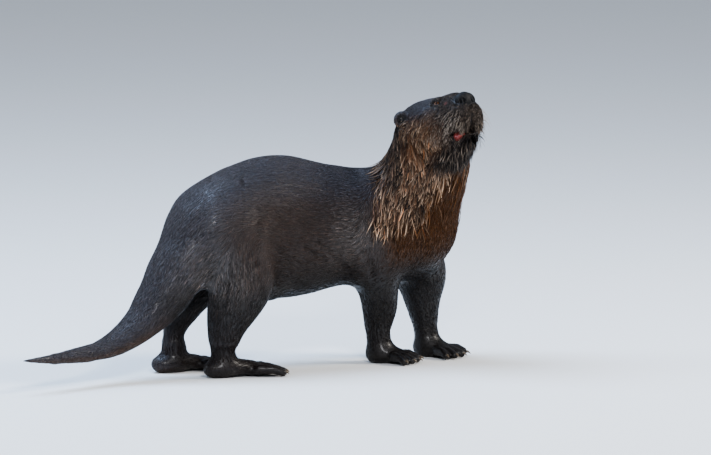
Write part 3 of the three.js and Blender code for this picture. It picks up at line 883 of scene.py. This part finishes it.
# The coat: wet locks, each a closed blade that follows the skin
def readSkin(skin):
    mesh = skin.data
    loops = readArray(mesh.loops, "vertex_index", kind=int)
    starts = readArray(mesh.polygons, "loop_start", kind=int)
    sizes = np.diff(np.append(starts, len(loops)))
    owner = np.repeat(np.arange(len(sizes)), sizes)
    points = readPoints(mesh)

    def perFace(values):
        total = np.column_stack([np.bincount(owner, values[loops, k]) for k in range(3)])
        return total / sizes[:, None]
    normals, centres = unit(perFace(readNormals(mesh))), perFace(points)
    tree = BVHTree.FromPolygons([tuple(v) for v in points],
                                [tuple(loops[s:s + n]) for s, n in zip(starts, sizes)])
    p = toPlan(centres)
    return {"tree": tree, "centres": centres, "normals": normals, "areas": readArray(mesh.polygons, "area"),
            "lie": coatLie(p, normals @ turnPlan) @ turnPlan.T, "plan": p, "head": toHead(centres),
            "color": coatColor(centres, normals)}


def spread(draw, chance, count):  # evenly spread picks, in the order the faces come
    total = np.cumsum(chance)
    marks = (np.arange(count) + draw.random(count)) / count * total[-1]
    return np.searchsorted(total, marks).clip(0, len(chance) - 1)


def lockFaces(count, rings):  # every lock has three corners to a ring and one at its tip
    starts = (np.arange(count) * (3 * rings + 1))[:, None]
    quads = [(k + a, k + b, k + b + 3, k + a + 3) for k in range(0, 3 * rings - 3, 3)
             for a, b in ((0, 2), (2, 1), (1, 0))]
    last, tip = 3 * rings - 3, 3 * rings
    triangles = [(0, 1, 2)] + [(last + a, last + b, tip) for a, b in ((0, 2), (2, 1), (1, 0))]
    return [(np.array(block, int).reshape(-1)[None] + starts).reshape(-1, len(block[0]))
            for block in (quads, triangles)]


def growLocks(name, field, chance, plan, material, seed):
    draw = np.random.default_rng(seed)
    count, rings, droop = plan["count"], plan["rings"], plan.get("droop")
    picked = spread(draw, chance * field["areas"], count)
    reach = np.sqrt(field["areas"][picked]) * 0.55
    normal, lie = field["normals"][picked], field["lie"][picked]
    place = field["centres"][picked] + lie * (reach * draw.uniform(-1, 1, count))[:, None] \
        + np.cross(normal, lie) * (reach * draw.uniform(-1, 1, count))[:, None]
    share, scale = draw.uniform(0, 1, count), field["scale"][picked]
    length = (plan["length"][0] + (plan["length"][1] - plan["length"][0]) * share) / 1000 * scale
    width = draw.uniform(*plan["width"], count) / 1000 * (0.6 + 0.4 * scale)
    stray = draw.normal(0, plan["stray"], count)
    phase, sway = draw.uniform(0, math.tau, count), draw.normal(0, plan["sway"], count)
    lift = plan["lift"] * draw.uniform(0.3, 1.0, count) / 1000
    tipLift = plan["tipLift"] * draw.uniform(0, 1, count) ** 2 / 1000
    tone = np.exp(draw.normal(0, plan["tone"], count) * field["variety"][picked])
    warmth = draw.normal(0, 0.07, count)
    pale = (draw.random(count) ** plan["rarity"] * plan["tipPale"] * field["pale"][picked]).clip(0, 1)
    warm = np.column_stack((1 + warmth, np.ones(count), 1 - warmth))
    base = plan["shade"] * field["color"][picked] * tone[:, None] * warm
    stops = np.append(np.linspace(0, 1, rings + 1)[:-1], 1.0)
    rows, colors, strands = [], [], []
    for k, t in enumerate(stops):
        if k and droop:  # hangs free of the skin
            ground = place
        else:
            hits = [field["tree"].find_nearest(spot) for spot in place.tolist()]
            ground = np.array([hit[0] for hit in hits])
            at = np.array([hit[2] for hit in hits])
            normal, lie = field["normals"][at], field["lie"][at]
        angle = stray + sway * math.sin(t * 3.0) + plan["wave"] * np.sin(phase + t * 5.0)
        way = lie * np.cos(angle)[:, None] + np.cross(normal, lie) * np.sin(angle)[:, None]
        if droop:
            way = unit(way + np.array((0, 0, -droop * t)))
        side = np.cross(normal, way)
        arch = lift * math.sin(math.pi * min(t * 1.1, 1))
        height = -plan["sink"] / 1000 * (1 - t) ** 2 + arch + tipLift * t * t
        half = width / 2 * (0.5 + 0.5 * min(1, t / 0.3)) * (1 - t ** 2.4)
        middle = ground + normal * height[:, None]
        shade = (0.32 + 0.68 * min(1, t / 0.45)) * (1 + 0.25 * max(0, t - 0.6))  # dark at the root
        tint = base * shade + (np.array(plan["tipColor"]) - base) * (pale * ramp(t, 0.35, 0.95))[:, None]
        for across, up in ((1, 0), (-1, 0), (0, plan["ridge"])) if k < rings else ((0, 0),):
            rows.append(middle + side * (half * across)[:, None] + normal * (half * up)[:, None])
            colors.append(tint)
            sideways = across * width * 500 + phase * 9
            strands.append(np.column_stack((sideways, phase * 31, length * t * 1000)))
        if k < rings:
            place = middle + way * (length * (stops[k + 1] - t))[:, None]
    spots = np.clip(np.stack(rows, axis=1), cadLow + 0.0002, cadHigh - 0.0002)
    piece = meshFromArrays(name, spots.reshape(-1, 3), lockFaces(count, rings), material)
    mesh = piece.data
    storeColor(mesh, np.stack(colors, axis=1).reshape(-1, 3).clip(0.002, 1))
    storeValues(mesh, "strand", "FLOAT_VECTOR", "vector", np.stack(strands, axis=1))
    patch = np.array([(across * 0.0014, (t - 0.5) * 0.0028) for k, t in enumerate(stops)
                      for across in ((1, -1, 0) if k < rings else (0,))])
    uv = (bakePlace(field["plan"][picked])[:, None] + patch[None]).reshape(-1, 2)
    loops = readArray(mesh.loops, "vertex_index", kind=int)
    mesh.uv_layers.new(name="OFBake").data.foreach_set("uv", uv[loops].ravel())
    report(f"{name}, {len(mesh.loops) - 2 * len(mesh.polygons)} triangles")
    return finishPiece(piece, "coat")


# Paints for the skin and the coat
def streakGroup():
    tree, into, out = newGroup(
        "hairStreaks", "ShaderNodeTree",
        {"Strand": "Vector", "Color": "Color", "Fineness": "Float", "Stretch": "Float",
         "Contrast": "Float"},
        {"Color": "Color", "Height": "Float", "Wetness": "Float"})
    add = nodeAdder(tree, "ShaderNode")
    stretch = add("CombineXYZ", {"X": 1, "Y": 1, "Z": into["Stretch"]})[0]
    place = add("VectorMath", {0: into["Strand"], 1: stretch}, operation="MULTIPLY")[0]
    hairs = add("TexNoise", {
        "Vector": place, "Scale": into["Fineness"], "Detail": 3, "Roughness": 0.65})["Fac"]
    clumps = add("TexNoise", {"Vector": place, "Scale": 0.16, "Detail": 2})["Fac"]
    sharpen = add("MapRange", {"Value": hairs, "From Min": 0.3, "From Max": 0.7})[0]
    both = add("Math", {0: clumps, 1: 0.8, 2: sharpen}, operation="MULTIPLY_ADD")[0]
    darken = add("MapRange", {
        "Value": both, "From Min": 0.1, "From Max": 1.3, "To Min": 0.35, "To Max": 1.75})[0]
    shade = add("Mix", {0: into["Contrast"], 6: into["Color"], 7: darken},
                data_type="RGBA", blend_type="MULTIPLY")[2]
    wet = add("MapRange", {
        "Value": clumps, "From Min": 0.3, "From Max": 0.7, "To Min": 0.56, "To Max": 0.28})[0]
    feed(tree, out, {"Color": shade, "Height": both, "Wetness": wet})
    return tree


furPaints = {  # how the streaks run, how deep they are, and the shader under them
    "skinPaint": {
        "streaks": {"Fineness": 0.9, "Stretch": 0.08, "Contrast": 0.8}, "depth": 0.0005,
        "shader": {"Coat Weight": 0.15, "Coat Roughness": 0.22, "IOR": 1.4}},
    "lockPaint": {
        "streaks": {"Fineness": 1.6, "Stretch": 0.06, "Contrast": 0.7}, "depth": 0.0003,
        "shader": {"Coat Weight": 0.15, "Coat Roughness": 0.2, "IOR": 1.4}},
    "manePaint": {
        "streaks": {"Fineness": 1.6, "Stretch": 0.06, "Contrast": 0.8}, "depth": 0.0003,
        "shader": {"Coat Weight": 0.04, "Coat Roughness": 0.25, "IOR": 1.28}},
}


def furPaint(name, streaks, settings):
    material, tree, shader = principled(name, settings["shader"])
    add = nodeAdder(tree, "ShaderNode")
    color, strand = [add("Attribute", attribute_name=key) for key in ("coatColor", "strand")]
    hair = add("Group", {"Color": color["Color"], "Strand": strand["Vector"], **settings["streaks"]},
               node_tree=streaks)
    bump = add("Bump", {"Height": hair["Height"], "Strength": 0.5, "Distance": settings["depth"]})[0]
    shine = add("Math", {0: color["Alpha"], 1: -0.18, 2: hair["Wetness"]}, operation="MULTIPLY_ADD")[0]
    feed(tree, shader, {"Base Color": hair["Color"], "Roughness": shine, "Normal": bump})
    return material


streaks = streakGroup()
skinPaint, lockPaint, manePaint = [furPaint(name, streaks, look) for name, look in furPaints.items()]

skin = makeSkin(skinPlan)
skin.data.materials.clear()
skin.data.materials.append(skinPaint)
skinPoints = readPoints(skin.data)
storeColor(skin.data, coatColor(skinPoints, readNormals(skin.data)) * skinPlan["shade"])
storeValues(skin.data, "strand", "FLOAT_VECTOR", "vector", strandPlace(toPlan(skinPoints)))
finishPiece(skin, "coat", *fleshNodes)
report(f"skin, {len(skin.data.loops) - 2 * len(skin.data.polygons)} triangles")
coatField = readSkin(skin)
report("lie of the coat")


def headShare(field):
    return ramp(field["head"][:, 0], -112, -94) * ramp(field["plan"][:, 2], 264, 284)


def coatMasks(field):  # where each kind of lock grows; also how much its tone and its pale tips vary
    p, q, n = field["plan"], field["head"], field["normals"] @ turnPlan
    m, head = mirrored(q), headShare(field)
    bare = (closeTo(m, eyePlace, 7.2, 7.9) * head
            + (ellipsoidField(q, nosePlace, face["noseRadii"]) < -0.4) * head
            + ramp(mouthDepth(q), 1.5, 3) * head
            + closeTo(m, earBowl, 4.0, 5.0) * head)
    clothed = np.clip(1 - bare, 0, 1) * (p[:, 2] > 1.5)
    neck = ramp(alongChest(p), 54, 68) * ramp(p[:, 2], 162, 218) * (1 - head)
    throat = throatShare(p, n)
    jowl = head * ramp(-q[:, 0], 44, 76) * (1 - ramp(q[:, 2], -20, 0))
    # painted glints: on the wet thigh and shoulder the locks vary more in tone and get paler tips
    paintedGlint = glossAndPaintedHighlightAt(field["centres"]) * (1 - neck)
    low = neck * (1 - ramp(p[:, 2], 168, 218))
    behind = ramp(-(n @ chestWay), -0.2, 0.6) * neck
    field["variety"] = (1 - 0.65 * throat) * (1 - 0.5 * jowl) * (1 - 0.35 * low) + 2.4 * paintedGlint
    field["pale"] = (1 - 0.92 * throat) * (1 - 0.6 * behind) * (1 - 0.85 * low) * (1 + 9 * paintedGlint)
    tail = 1 - ramp(p[:, 0], -190, -160)
    foot = (1 - ramp(p[:, 2], 26, 40)) * (1 - tail)
    leg = (1 - ramp(p[:, 2], 92, 130)) * (1 - tail) * (1 - foot)
    snout = head * ramp(q[:, 0], -54, -42)
    crown = (head - snout).clip(0) * ramp(q[:, 2] + 0.25 * (q[:, 0] + 60), -20, 6)
    fringe = head * ramp(-q[:, 2], 20, 30) * ramp(q[:, 2], -41, -38) * ramp(q[:, 0], -60, -48)
    zones = {
        "snout": snout, "crown": crown, "cheek": (head - snout - crown).clip(0), "tail": tail, "foot": foot,
        "beard": head * ramp(-q[:, 2], 43, 48) * ramp(q[:, 0], -82, -66),
        "fringe": fringe * ramp(lengthOf((q - (-17, -18, -37)) / (1, 1, 1.3)), 8, 12),
        "mane": np.maximum(neck * (1 - 0.9 * throat), 0.95 * jowl), "under": np.maximum(neck, throat),
        "leg": leg * (1 - neck), "trunk": (1 - tail) * (1 - foot) * (1 - leg) * (1 - neck) * (1 - head),
    }
    return {zone: share * clothed for zone, share in zones.items()}


def lockScale(field):  # shorter hair near the eyes, nose and ears, longer on the jowls and the chin
    p, q, head = field["plan"], field["head"], headShare(field)
    m = mirrored(q)
    top = ramp(q[:, 2], -10, 8)
    size = (1 - 0.55 * closeTo(m, eyePlace, 9, 24)) * (1 - 0.6 * closeTo(m, nosePlace, 13, 34, (1, 1.3, 1)))
    size *= 1 - 0.35 * top
    size *= 1 + 0.6 * ramp(-q[:, 0], 50, 90) * (1 - top)
    size *= 1 + 0.7 * ramp(-q[:, 2], 22, 34) * (1 - ramp(-q[:, 2], 38, 42)) * ramp(q[:, 0], -52, -30)
    size *= 1 + 1.3 * ramp(-q[:, 2], 44, 54)
    size *= 1 - 0.68 * closeTo(m, earPlace, 12, 17)
    lowNeck = ramp(alongChest(p), 46, 60) * (1 - ramp(p[:, 2], 165, 215)) * (1 - head)
    tailTip = ramp(-p[:, 0], 285, 340)
    return (1 - head + head * size) * (1 - 0.4 * lowNeck) * (1 - 0.5 * tailTip)


sleek = dict(rings=2, stray=0.1, sway=0.1, wave=0.05, lift=0.35, sink=0.3, ridge=0.35, tone=0.25,
    tipPale=0.15, rarity=2, shade=1.0, tipColor=(0.035, 0.02, 0.014))
shaggy = dict(rings=4, stray=0.25, sway=0.25, wave=0.15, sink=0.3, ridge=0.55, tone=0.5, tipPale=0.8,
    rarity=1.6, shade=0.9)
flowing = dict(stray=0.15, sink=0.4, ridge=0.6)
coatPlans = {  # lengths, widths and lifts in millimetres
    "coatCrown": dict(sleek, zone="crown", count=9500, length=(6, 12), width=(0.6, 1.3), sway=0.12,
        tipLift=0.5, tone=0.3, tipPale=0.3, tipColor=(0.10, 0.08, 0.075)),
    # the trunk's pale grey lock tips are painted wet glints, strongest on the thigh and shoulder
    "coatTrunkRight": dict(sleek, zone="trunk", count=15000, length=(11, 21), width=(0.9, 1.7),
        stray=0.06, sway=0.08, wave=0.03, lift=0.3, tipLift=0.15, ridge=0.25, tipPale=0.12, rarity=3,
        tipColor=(0.24, 0.21, 0.19)),
    "coatLegs": dict(sleek, zone="leg", count=10000, length=(7, 14), width=(1.0, 1.9), lift=0.4,
        tipLift=0.4, tone=0.3),
    "coatTail": dict(sleek, zone="tail", count=8000, length=(8, 16), width=(1.0, 1.8), stray=0.08,
        tipLift=0.3, tipColor=(0.08, 0.06, 0.05)),
    "coatFeet": dict(sleek, zone="foot", count=6000, length=(3, 6), width=(0.8, 1.4), stray=0.12,
        lift=0.3, tipLift=0.2, sink=0.25),
    "coatCheeks": dict(shaggy, zone="cheek", count=7500, length=(9, 22), width=(0.8, 2.1), stray=0.2,
        wave=0.14, lift=1.1, tipLift=2.0, tone=0.6, tipPale=1.0, shade=0.85,
        tipColor=(0.60, 0.43, 0.29)),
    "coatSnout": dict(shaggy, zone="snout", count=11500, rings=3, length=(4.5, 10), width=(0.6, 1.3),
        stray=0.24, wave=0.1, lift=0.7, tipLift=1.8, sink=0.25, ridge=0.5, rarity=2.4, shade=1.0,
        tipColor=(0.42, 0.33, 0.26)),
    "coatBeard": dict(shaggy, zone="beard", count=1500, length=(9, 20), width=(0.8, 1.9), sway=0.2,
        lift=0.6, tipLift=1.4, sink=0.4, ridge=0.6, rarity=4, tipColor=(0.34, 0.26, 0.20), droop=0.9),
    "coatFringe": dict(shaggy, zone="fringe", count=900, length=(6, 13), width=(0.5, 1.1), sway=0.2,
        lift=0.5, tipLift=1.5, tipPale=0.9, tipColor=(0.46, 0.37, 0.29), droop=0.8),
    "coatNeckUnder": dict(flowing, zone="under", count=8500, rings=3, length=(9, 20), width=(0.9, 1.9),
        stray=0.12, sway=0.15, wave=0.08, lift=0.7, tipLift=0.5, ridge=0.5, tone=0.5, tipPale=0.2,
        rarity=2, shade=0.5, tipColor=(0.14, 0.07, 0.036)),
    "coatNeckOver": dict(flowing, zone="mane", count=5800, rings=5, length=(16, 34), width=(1.1, 2.4),
        sway=0.22, wave=0.12, lift=1.5, tipLift=1.6, tone=0.8, tipPale=0.6, rarity=2.5, shade=0.6,
        tipColor=(0.34, 0.22, 0.14)),
    "coatNeckClumps": dict(flowing, zone="mane", count=3000, rings=6, length=(24, 48), width=(1.4, 3.0),
        sway=0.25, wave=0.16, lift=2.6, tipLift=2.2, tone=0.9, tipPale=1.0, rarity=1.3, shade=0.9,
        tipColor=(0.68, 0.47, 0.32)),
}
coatPlans["coatTrunkLeft"] = coatPlans["coatTrunkRight"]
coatThinning, coatSeed = 1.6, 40  # how fast a zone's locks thin out at its edge, and where the seeds start
coatField["scale"] = lockScale(coatField)
masks = coatMasks(coatField)
rightSide = coatField["plan"][:, 1] < 100 + 0.75 * (coatField["plan"][:, 0] + 40)
sides = {"coatTrunkRight": rightSide, "coatTrunkLeft": ~rightSide}
for number, name in enumerate(sorted(coatPlans)):
    lockPlan = coatPlans[name]
    paint = lockPaint if lockPlan["zone"] in ("crown", "trunk", "leg", "tail", "foot") else manePaint
    chance = (masks[lockPlan["zone"]] * sides.get(name, 1)) ** coatThinning
    growLocks(name, coatField, chance, lockPlan, paint, coatSeed + number)


# Eyes, nose, tongue, lids, claws and whiskers
def ballPoints(rounds):
    sheet = bmesh.new()
    bmesh.ops.create_icosphere(sheet, subdivisions=rounds, radius=1)
    points = np.array([v.co[:] for v in sheet.verts])
    faces = np.array([[v.index for v in f.verts] for f in sheet.faces])
    sheet.free()
    return points, faces


eyePlan = {
    "radius": 5.45,
    "gaze": (0.66, 0.72, 0.24),
    "white": (0.30, (0.035, 0.02, 0.014, 1)),  # cosine from the gaze, and the colour there
    "bands": [
        (0.84, (0.012, 0.006, 0.004, 1)), (0.90, (0.20, 0.075, 0.018, 1)),
        (0.96, (0.10, 0.035, 0.01, 1)), (0.972, (0.003, 0.002, 0.002, 1))],
    "rimRadius": 0.5,
}


def eyePaint(plan):
    material, tree, shader = principled("eyePaint", {
        "Roughness": 0.08, "Coat Weight": 0.35, "Coat Roughness": 0.03})
    gaze = addNode(tree, "ShaderNodeAttribute", attribute_name="gaze").outputs["Fac"]
    bands = addNode(tree, "ShaderNodeValToRGB", {"Fac": gaze})
    stops = bands.color_ramp.elements
    stops[0].position, stops[0].color = plan["white"]
    stops[1].position, stops[1].color = 1.0, (0.002, 0.002, 0.002, 1)
    for at, color in plan["bands"]:
        stops.new(at).color = color
    feed(tree, shader, {"Base Color": bands.outputs["Color"]})
    return material


def makeEye(name, side, material, settings):
    points, faces = ballPoints(5)
    gaze = np.array(settings["gaze"]) * (1, side, 1)
    cornea = (points @ gaze / np.linalg.norm(gaze)).clip(-1, 1)
    bulge = 1 + 0.05 * ramp(cornea, 0.84, 0.95)
    spots = fromHead(eyePlace * (1, side, 1) + points * (settings["radius"] * bulge)[:, None])
    piece = meshFromArrays(name, spots, [faces], material)
    storeValues(piece.data, "gaze", "FLOAT", "value", cornea)
    return finishPiece(piece, "eyes", name)


nosePlan = {
    "radii": (7.8, 15.4, 11.2),
    "slit": ((-1.5, 10.5, -4.0), (-7.5, 15.0, -7.5), 1.5, 0.7),
}


def nostrilField(m):
    return ellipsoidField(m, face["nostril"], face["nostrilRadii"], 20)


def noseField(q):
    m = mirrored(q)
    d = ellipsoidField(q, nosePlace, nosePlan["radii"])
    d += creaseDepth(q, (3, 0, -4), (-1, 0, -15), 1.1, 1.0)
    d += creaseDepth(m, (-8, 6, 10), (1, 4.5, 0), 2.4, 0.5)
    d = carveField(d, nostrilField(m), 1.6)
    return carveField(d, taperField(m, *nosePlan["slit"]), 1.2)


def leatherPaint(name, color, roughness, cell, depth, wet=0.12):
    material, tree, shader = principled(name, {
        "Roughness": roughness, "Coat Weight": wet, "Coat Roughness": 0.2, "IOR": 1.3 + wet})
    add = nodeAdder(tree, "ShaderNode")
    spot = add("TexCoord")["Object"]
    cells = add("TexVoronoi", {"Vector": spot, "Scale": 1 / cell})["Distance"]
    cloud = add("TexNoise", {"Vector": spot, "Scale": 0.25 / cell})["Fac"]
    tint = addNode(tree, "ShaderNodeValToRGB", {"Fac": cloud})
    for stop, share in zip(tint.color_ramp.elements, (0.55, 1.5)):
        stop.color = (*[min(1, c * share) for c in color], 1)
    # painted shade: the insides of the nostrils are mixed towards black
    hollowShade = add("Attribute", attribute_name="hollowShade")["Fac"]
    deep = add("Mix", {0: hollowShade, 6: tint.outputs[0], 7: (0.0015, 0.001, 0.001, 1)}, data_type="RGBA")[2]
    bump = add("Bump", {"Height": cells, "Strength": 0.6, "Distance": depth})[0]
    feed(tree, shader, {"Base Color": deep, "Normal": bump})
    return material


nosePaint = leatherPaint("nosePaint", (0.006, 0.0055, 0.006), 0.55, 0.0011, 0.00035, 0.0)
tonguePaint = leatherPaint("tonguePaint", (0.17, 0.030, 0.025), 0.32, 0.0012, 0.0004)
lidPaint = leatherPaint("lidPaint", (0.035, 0.018, 0.014), 0.3, 0.0006, 0.0001)
clawPaint = leatherPaint("clawPaint", (0.10, 0.075, 0.05), 0.35, 0.002, 0.0001)
whiskerPaint = principled("whiskerPaint", {"Base Color": (0.36, 0.29, 0.22, 1), "Roughness": 0.4})[0]

eyeballPaint = eyePaint(eyePlan)
makeEye("eye_left", 1, eyeballPaint, eyePlan)
makeEye("eye_right", -1, eyeballPaint, eyePlan)

points, faces = ballPoints(6)
points = drawOnto(noseField, nosePlace + points * nosePlan["radii"], np.ones(len(points)),
                  rounds=12, step=0.1, limit=0.7)
nosePad = meshFromArrays("nosePad", fromHead(points), [faces], nosePaint)
# painted shade inside the nostrils
storeValues(nosePad.data, "hollowShade", "FLOAT", "value", 1 - ramp(nostrilField(mirrored(points)), -0.6, 0.5))
finishPiece(nosePad, "nose", "nose")

tonguePlan = {"place": (-27.0, -8.0, -42.8), "radii": (17.5, 7.8, 7.6), "yaw": -50.0, "pitch": -12.0}
points, faces = ballPoints(5)
points[:, 2] *= 1 - 0.35 * ramp(points[:, 0], 0.2, 1.0)  # thinner towards the tip
points[:, 2] -= 0.16 * np.exp(-(points[:, 1] / 0.22) ** 2) * (points[:, 2] > 0)  # groove
points = (points * tonguePlan["radii"]) @ turnedAxes(tonguePlan["yaw"], tonguePlan["pitch"]).T
points = fromHead(np.array(tonguePlan["place"]) + points)
finishPiece(meshFromArrays("tonguePiece", points, [faces], tonguePaint), "tongue", "tongue")
report("eyes, nose and tongue")


def tubeTree():
    tree, into, out = newGroup(
        "taperedTubes", "GeometryNodeTree",
        {"Geometry": "Geometry", "Thickness": "Float", "Sides": "Int", "Material": "Material"},
        {"Geometry": "Geometry"})
    add = nodeAdder(tree, "GeometryNode")
    lines = add("MeshToCurve", {"Mesh": into["Geometry"]})[0]
    thick = add("InputNamedAttribute", {"Name": "thick"})["Attribute"]
    scaled = addNode(tree, "ShaderNodeMath", {0: thick, 1: into["Thickness"]}, operation="MULTIPLY")
    ring = add("CurvePrimitiveCircle", {"Radius": 1.0, "Resolution": into["Sides"]})["Curve"]
    tubes = add("CurveToMesh", {"Curve": lines, "Profile Curve": ring, "Scale": scaled.outputs[0],
                                "Fill Caps": True})
    smooth = add("SetShadeSmooth", {"Geometry": tubes[0]})[0]
    whole = add("RealizeInstances", {"Geometry": smooth})[0]
    feed(tree, out, {"Geometry": add("SetMaterial", {"Geometry": whole, "Material": into["Material"]})[0]})
    return tree


tubes = tubeTree()


def makeTubes(name, lines, radii, material, sides, closed=False):  # one tapered tube along each line
    lines = np.array(lines)
    count, steps = lines.shape[:2]
    pairs = [(step, step + 1) for step in range(steps - 1)] + [(steps - 1, 0)] * closed
    edges = (np.arange(count)[:, None, None] * steps + np.array(pairs)).reshape(-1, 2)
    mesh = bpy.data.meshes.new(name)
    mesh.from_pydata(lines.reshape(-1, 3).tolist(), edges.tolist(), [])
    storeValues(mesh, "thick", "FLOAT", "value", np.array(radii))
    piece = addObject(name, mesh)
    modifier = piece.modifiers.new("tubes", "NODES")
    modifier.node_group = tubes
    inputs = {item.name: item.identifier for item in tubes.interface.items_tree if item.in_out == "INPUT"}
    modifier[inputs["Thickness"]] = 1.0
    modifier[inputs["Sides"]] = sides
    modifier[inputs["Material"]] = material
    return applied(piece)


rimPlan = {"points": 40, "sides": 8, "radius": eyePlan["rimRadius"] / 1000, "sink": 0.25}
a, b = face["aperture"]
turn = np.linspace(0, math.tau, rimPlan["points"], endpoint=False)
x = np.cos(turn) * a
y = np.sin(turn) * b + face["lidRaise"] - face["lidBow"] * x ** 2
rise = np.sqrt(np.maximum(face["lidRadius"] ** 2 - x ** 2 - y ** 2, 1)) - rimPlan["sink"]
rim = eyePlace + x[:, None] * eyeAlong + y[:, None] * eyeUp + rise[:, None] * eyeOut
rims = [fromHead(rim * (1, side, 1)) for side in (1, -1)]
rimRadii = np.full((2, rimPlan["points"]), rimPlan["radius"])
finishPiece(makeTubes("lidRims", rims, rimRadii, lidPaint, rimPlan["sides"], closed=True), "eyes")

clawPlan = {
    "bed": 0.22,  # how far in front of the toe's end a claw starts, in toe widths
    "above": 1.2, "reach": 1.15, "rise": 1.0, "fall": 4.2, "lowest": 0.9,
    "radius": 0.0017, "taper": 0.93, "steps": 7, "sides": 10, "boxGap": 0.0025,
}
claws, clawRadii = [], []
for foot in feet:
    size = footSizes[foot["kind"]]
    for index in toes:
        middle, end = [np.array(v) for v in toeLine(size, index)[1:]]
        way = (end - middle) / np.linalg.norm(end - middle)
        flat = np.array((way[0], way[1], 0)) / np.hypot(way[0], way[1])
        base = end + flat * size["toeWidth"] * clawPlan["bed"] + (0, 0, clawPlan["above"])
        t = np.linspace(0, 1, clawPlan["steps"])[:, None]
        line = base + flat * size["claw"] * clawPlan["reach"] * t
        line[:, 2:] += clawPlan["rise"] * t - clawPlan["fall"] * t ** 2
        line[:, 2] = line[:, 2].clip(clawPlan["lowest"])
        gap = clawPlan["boxGap"]
        claws.append(np.clip(fromPlan(fromFoot(line, foot)), cadLow + gap, cadHigh - gap))
        clawRadii.append(clawPlan["radius"] * (1 - t[:, 0] ** 1.6 * clawPlan["taper"]) * size["clawBulk"])
finishPiece(makeTubes("claws", claws, clawRadii, clawPaint, clawPlan["sides"]), "feet")

whiskerPlan = {  # root and way hold the first whisker's, and what each column and each row adds
    "columns": 4, "rows": 5, "seed": 7,
    "root": ((-8.0, 15.0, -15.0), (-4.0, 1.6, 0), (0, 0, -3.4)), "rootSpread": 0.7,
    "way": ((0.35, 1.0, -0.30), (-0.22, 0, 0), (0, 0, -0.16)), "waySpread": 0.12,
    "length": (10, 26), "droop": (-0.35, 0, -0.45), "depth": 0.0006,
    "radius": 0.0002, "taper": 0.85, "steps": 9, "sides": 5, "boxGap": 0.001,
}


def onPad(values, column, row):
    first, perColumn, perRow = np.array(values, float)
    return first + perColumn * column + perRow * row


draw = np.random.default_rng(whiskerPlan["seed"])
lines, radii = [], []
for side in (1, -1):
    for index in range(whiskerPlan["columns"] * whiskerPlan["rows"]):
        column, row = divmod(index, whiskerPlan["rows"])
        root = onPad(whiskerPlan["root"], column, row) + draw.normal(0, whiskerPlan["rootSpread"], 3)
        way = onPad(whiskerPlan["way"], column, row) + draw.normal(0, whiskerPlan["waySpread"], 3)
        way /= np.linalg.norm(way)
        length = draw.uniform(*whiskerPlan["length"]) * (0.6 + 0.1 * column)
        t = np.linspace(0, 1, whiskerPlan["steps"])[:, None]
        droop = np.array(whiskerPlan["droop"]) * length
        spots = fromHead((root + way * length * t + droop * t ** 2) * (1, side, 1))
        ground = coatField["tree"].find_nearest(spots[0].tolist())
        spots += np.array(ground[0]) - spots[0] - np.array(ground[1]) * whiskerPlan["depth"]
        gap = whiskerPlan["boxGap"]
        fits = ((spots > cadLow + gap) & (spots < cadHigh - gap)).all(axis=1)
        if not fits.all():  # a whisker that would leave the outline is shortened
            share = max(0.15, (np.argmin(fits) - 1) / (whiskerPlan["steps"] - 1))
            spots = spots[0] + (spots - spots[0]) * share * 0.9
        lines.append(spots)
        radii.append(whiskerPlan["radius"] * (1 - whiskerPlan["taper"] * t[:, 0]))
finishPiece(makeTubes("whiskers", lines, radii, whiskerPaint, whiskerPlan["sides"]), "coat")
report("lids, claws and whiskers")
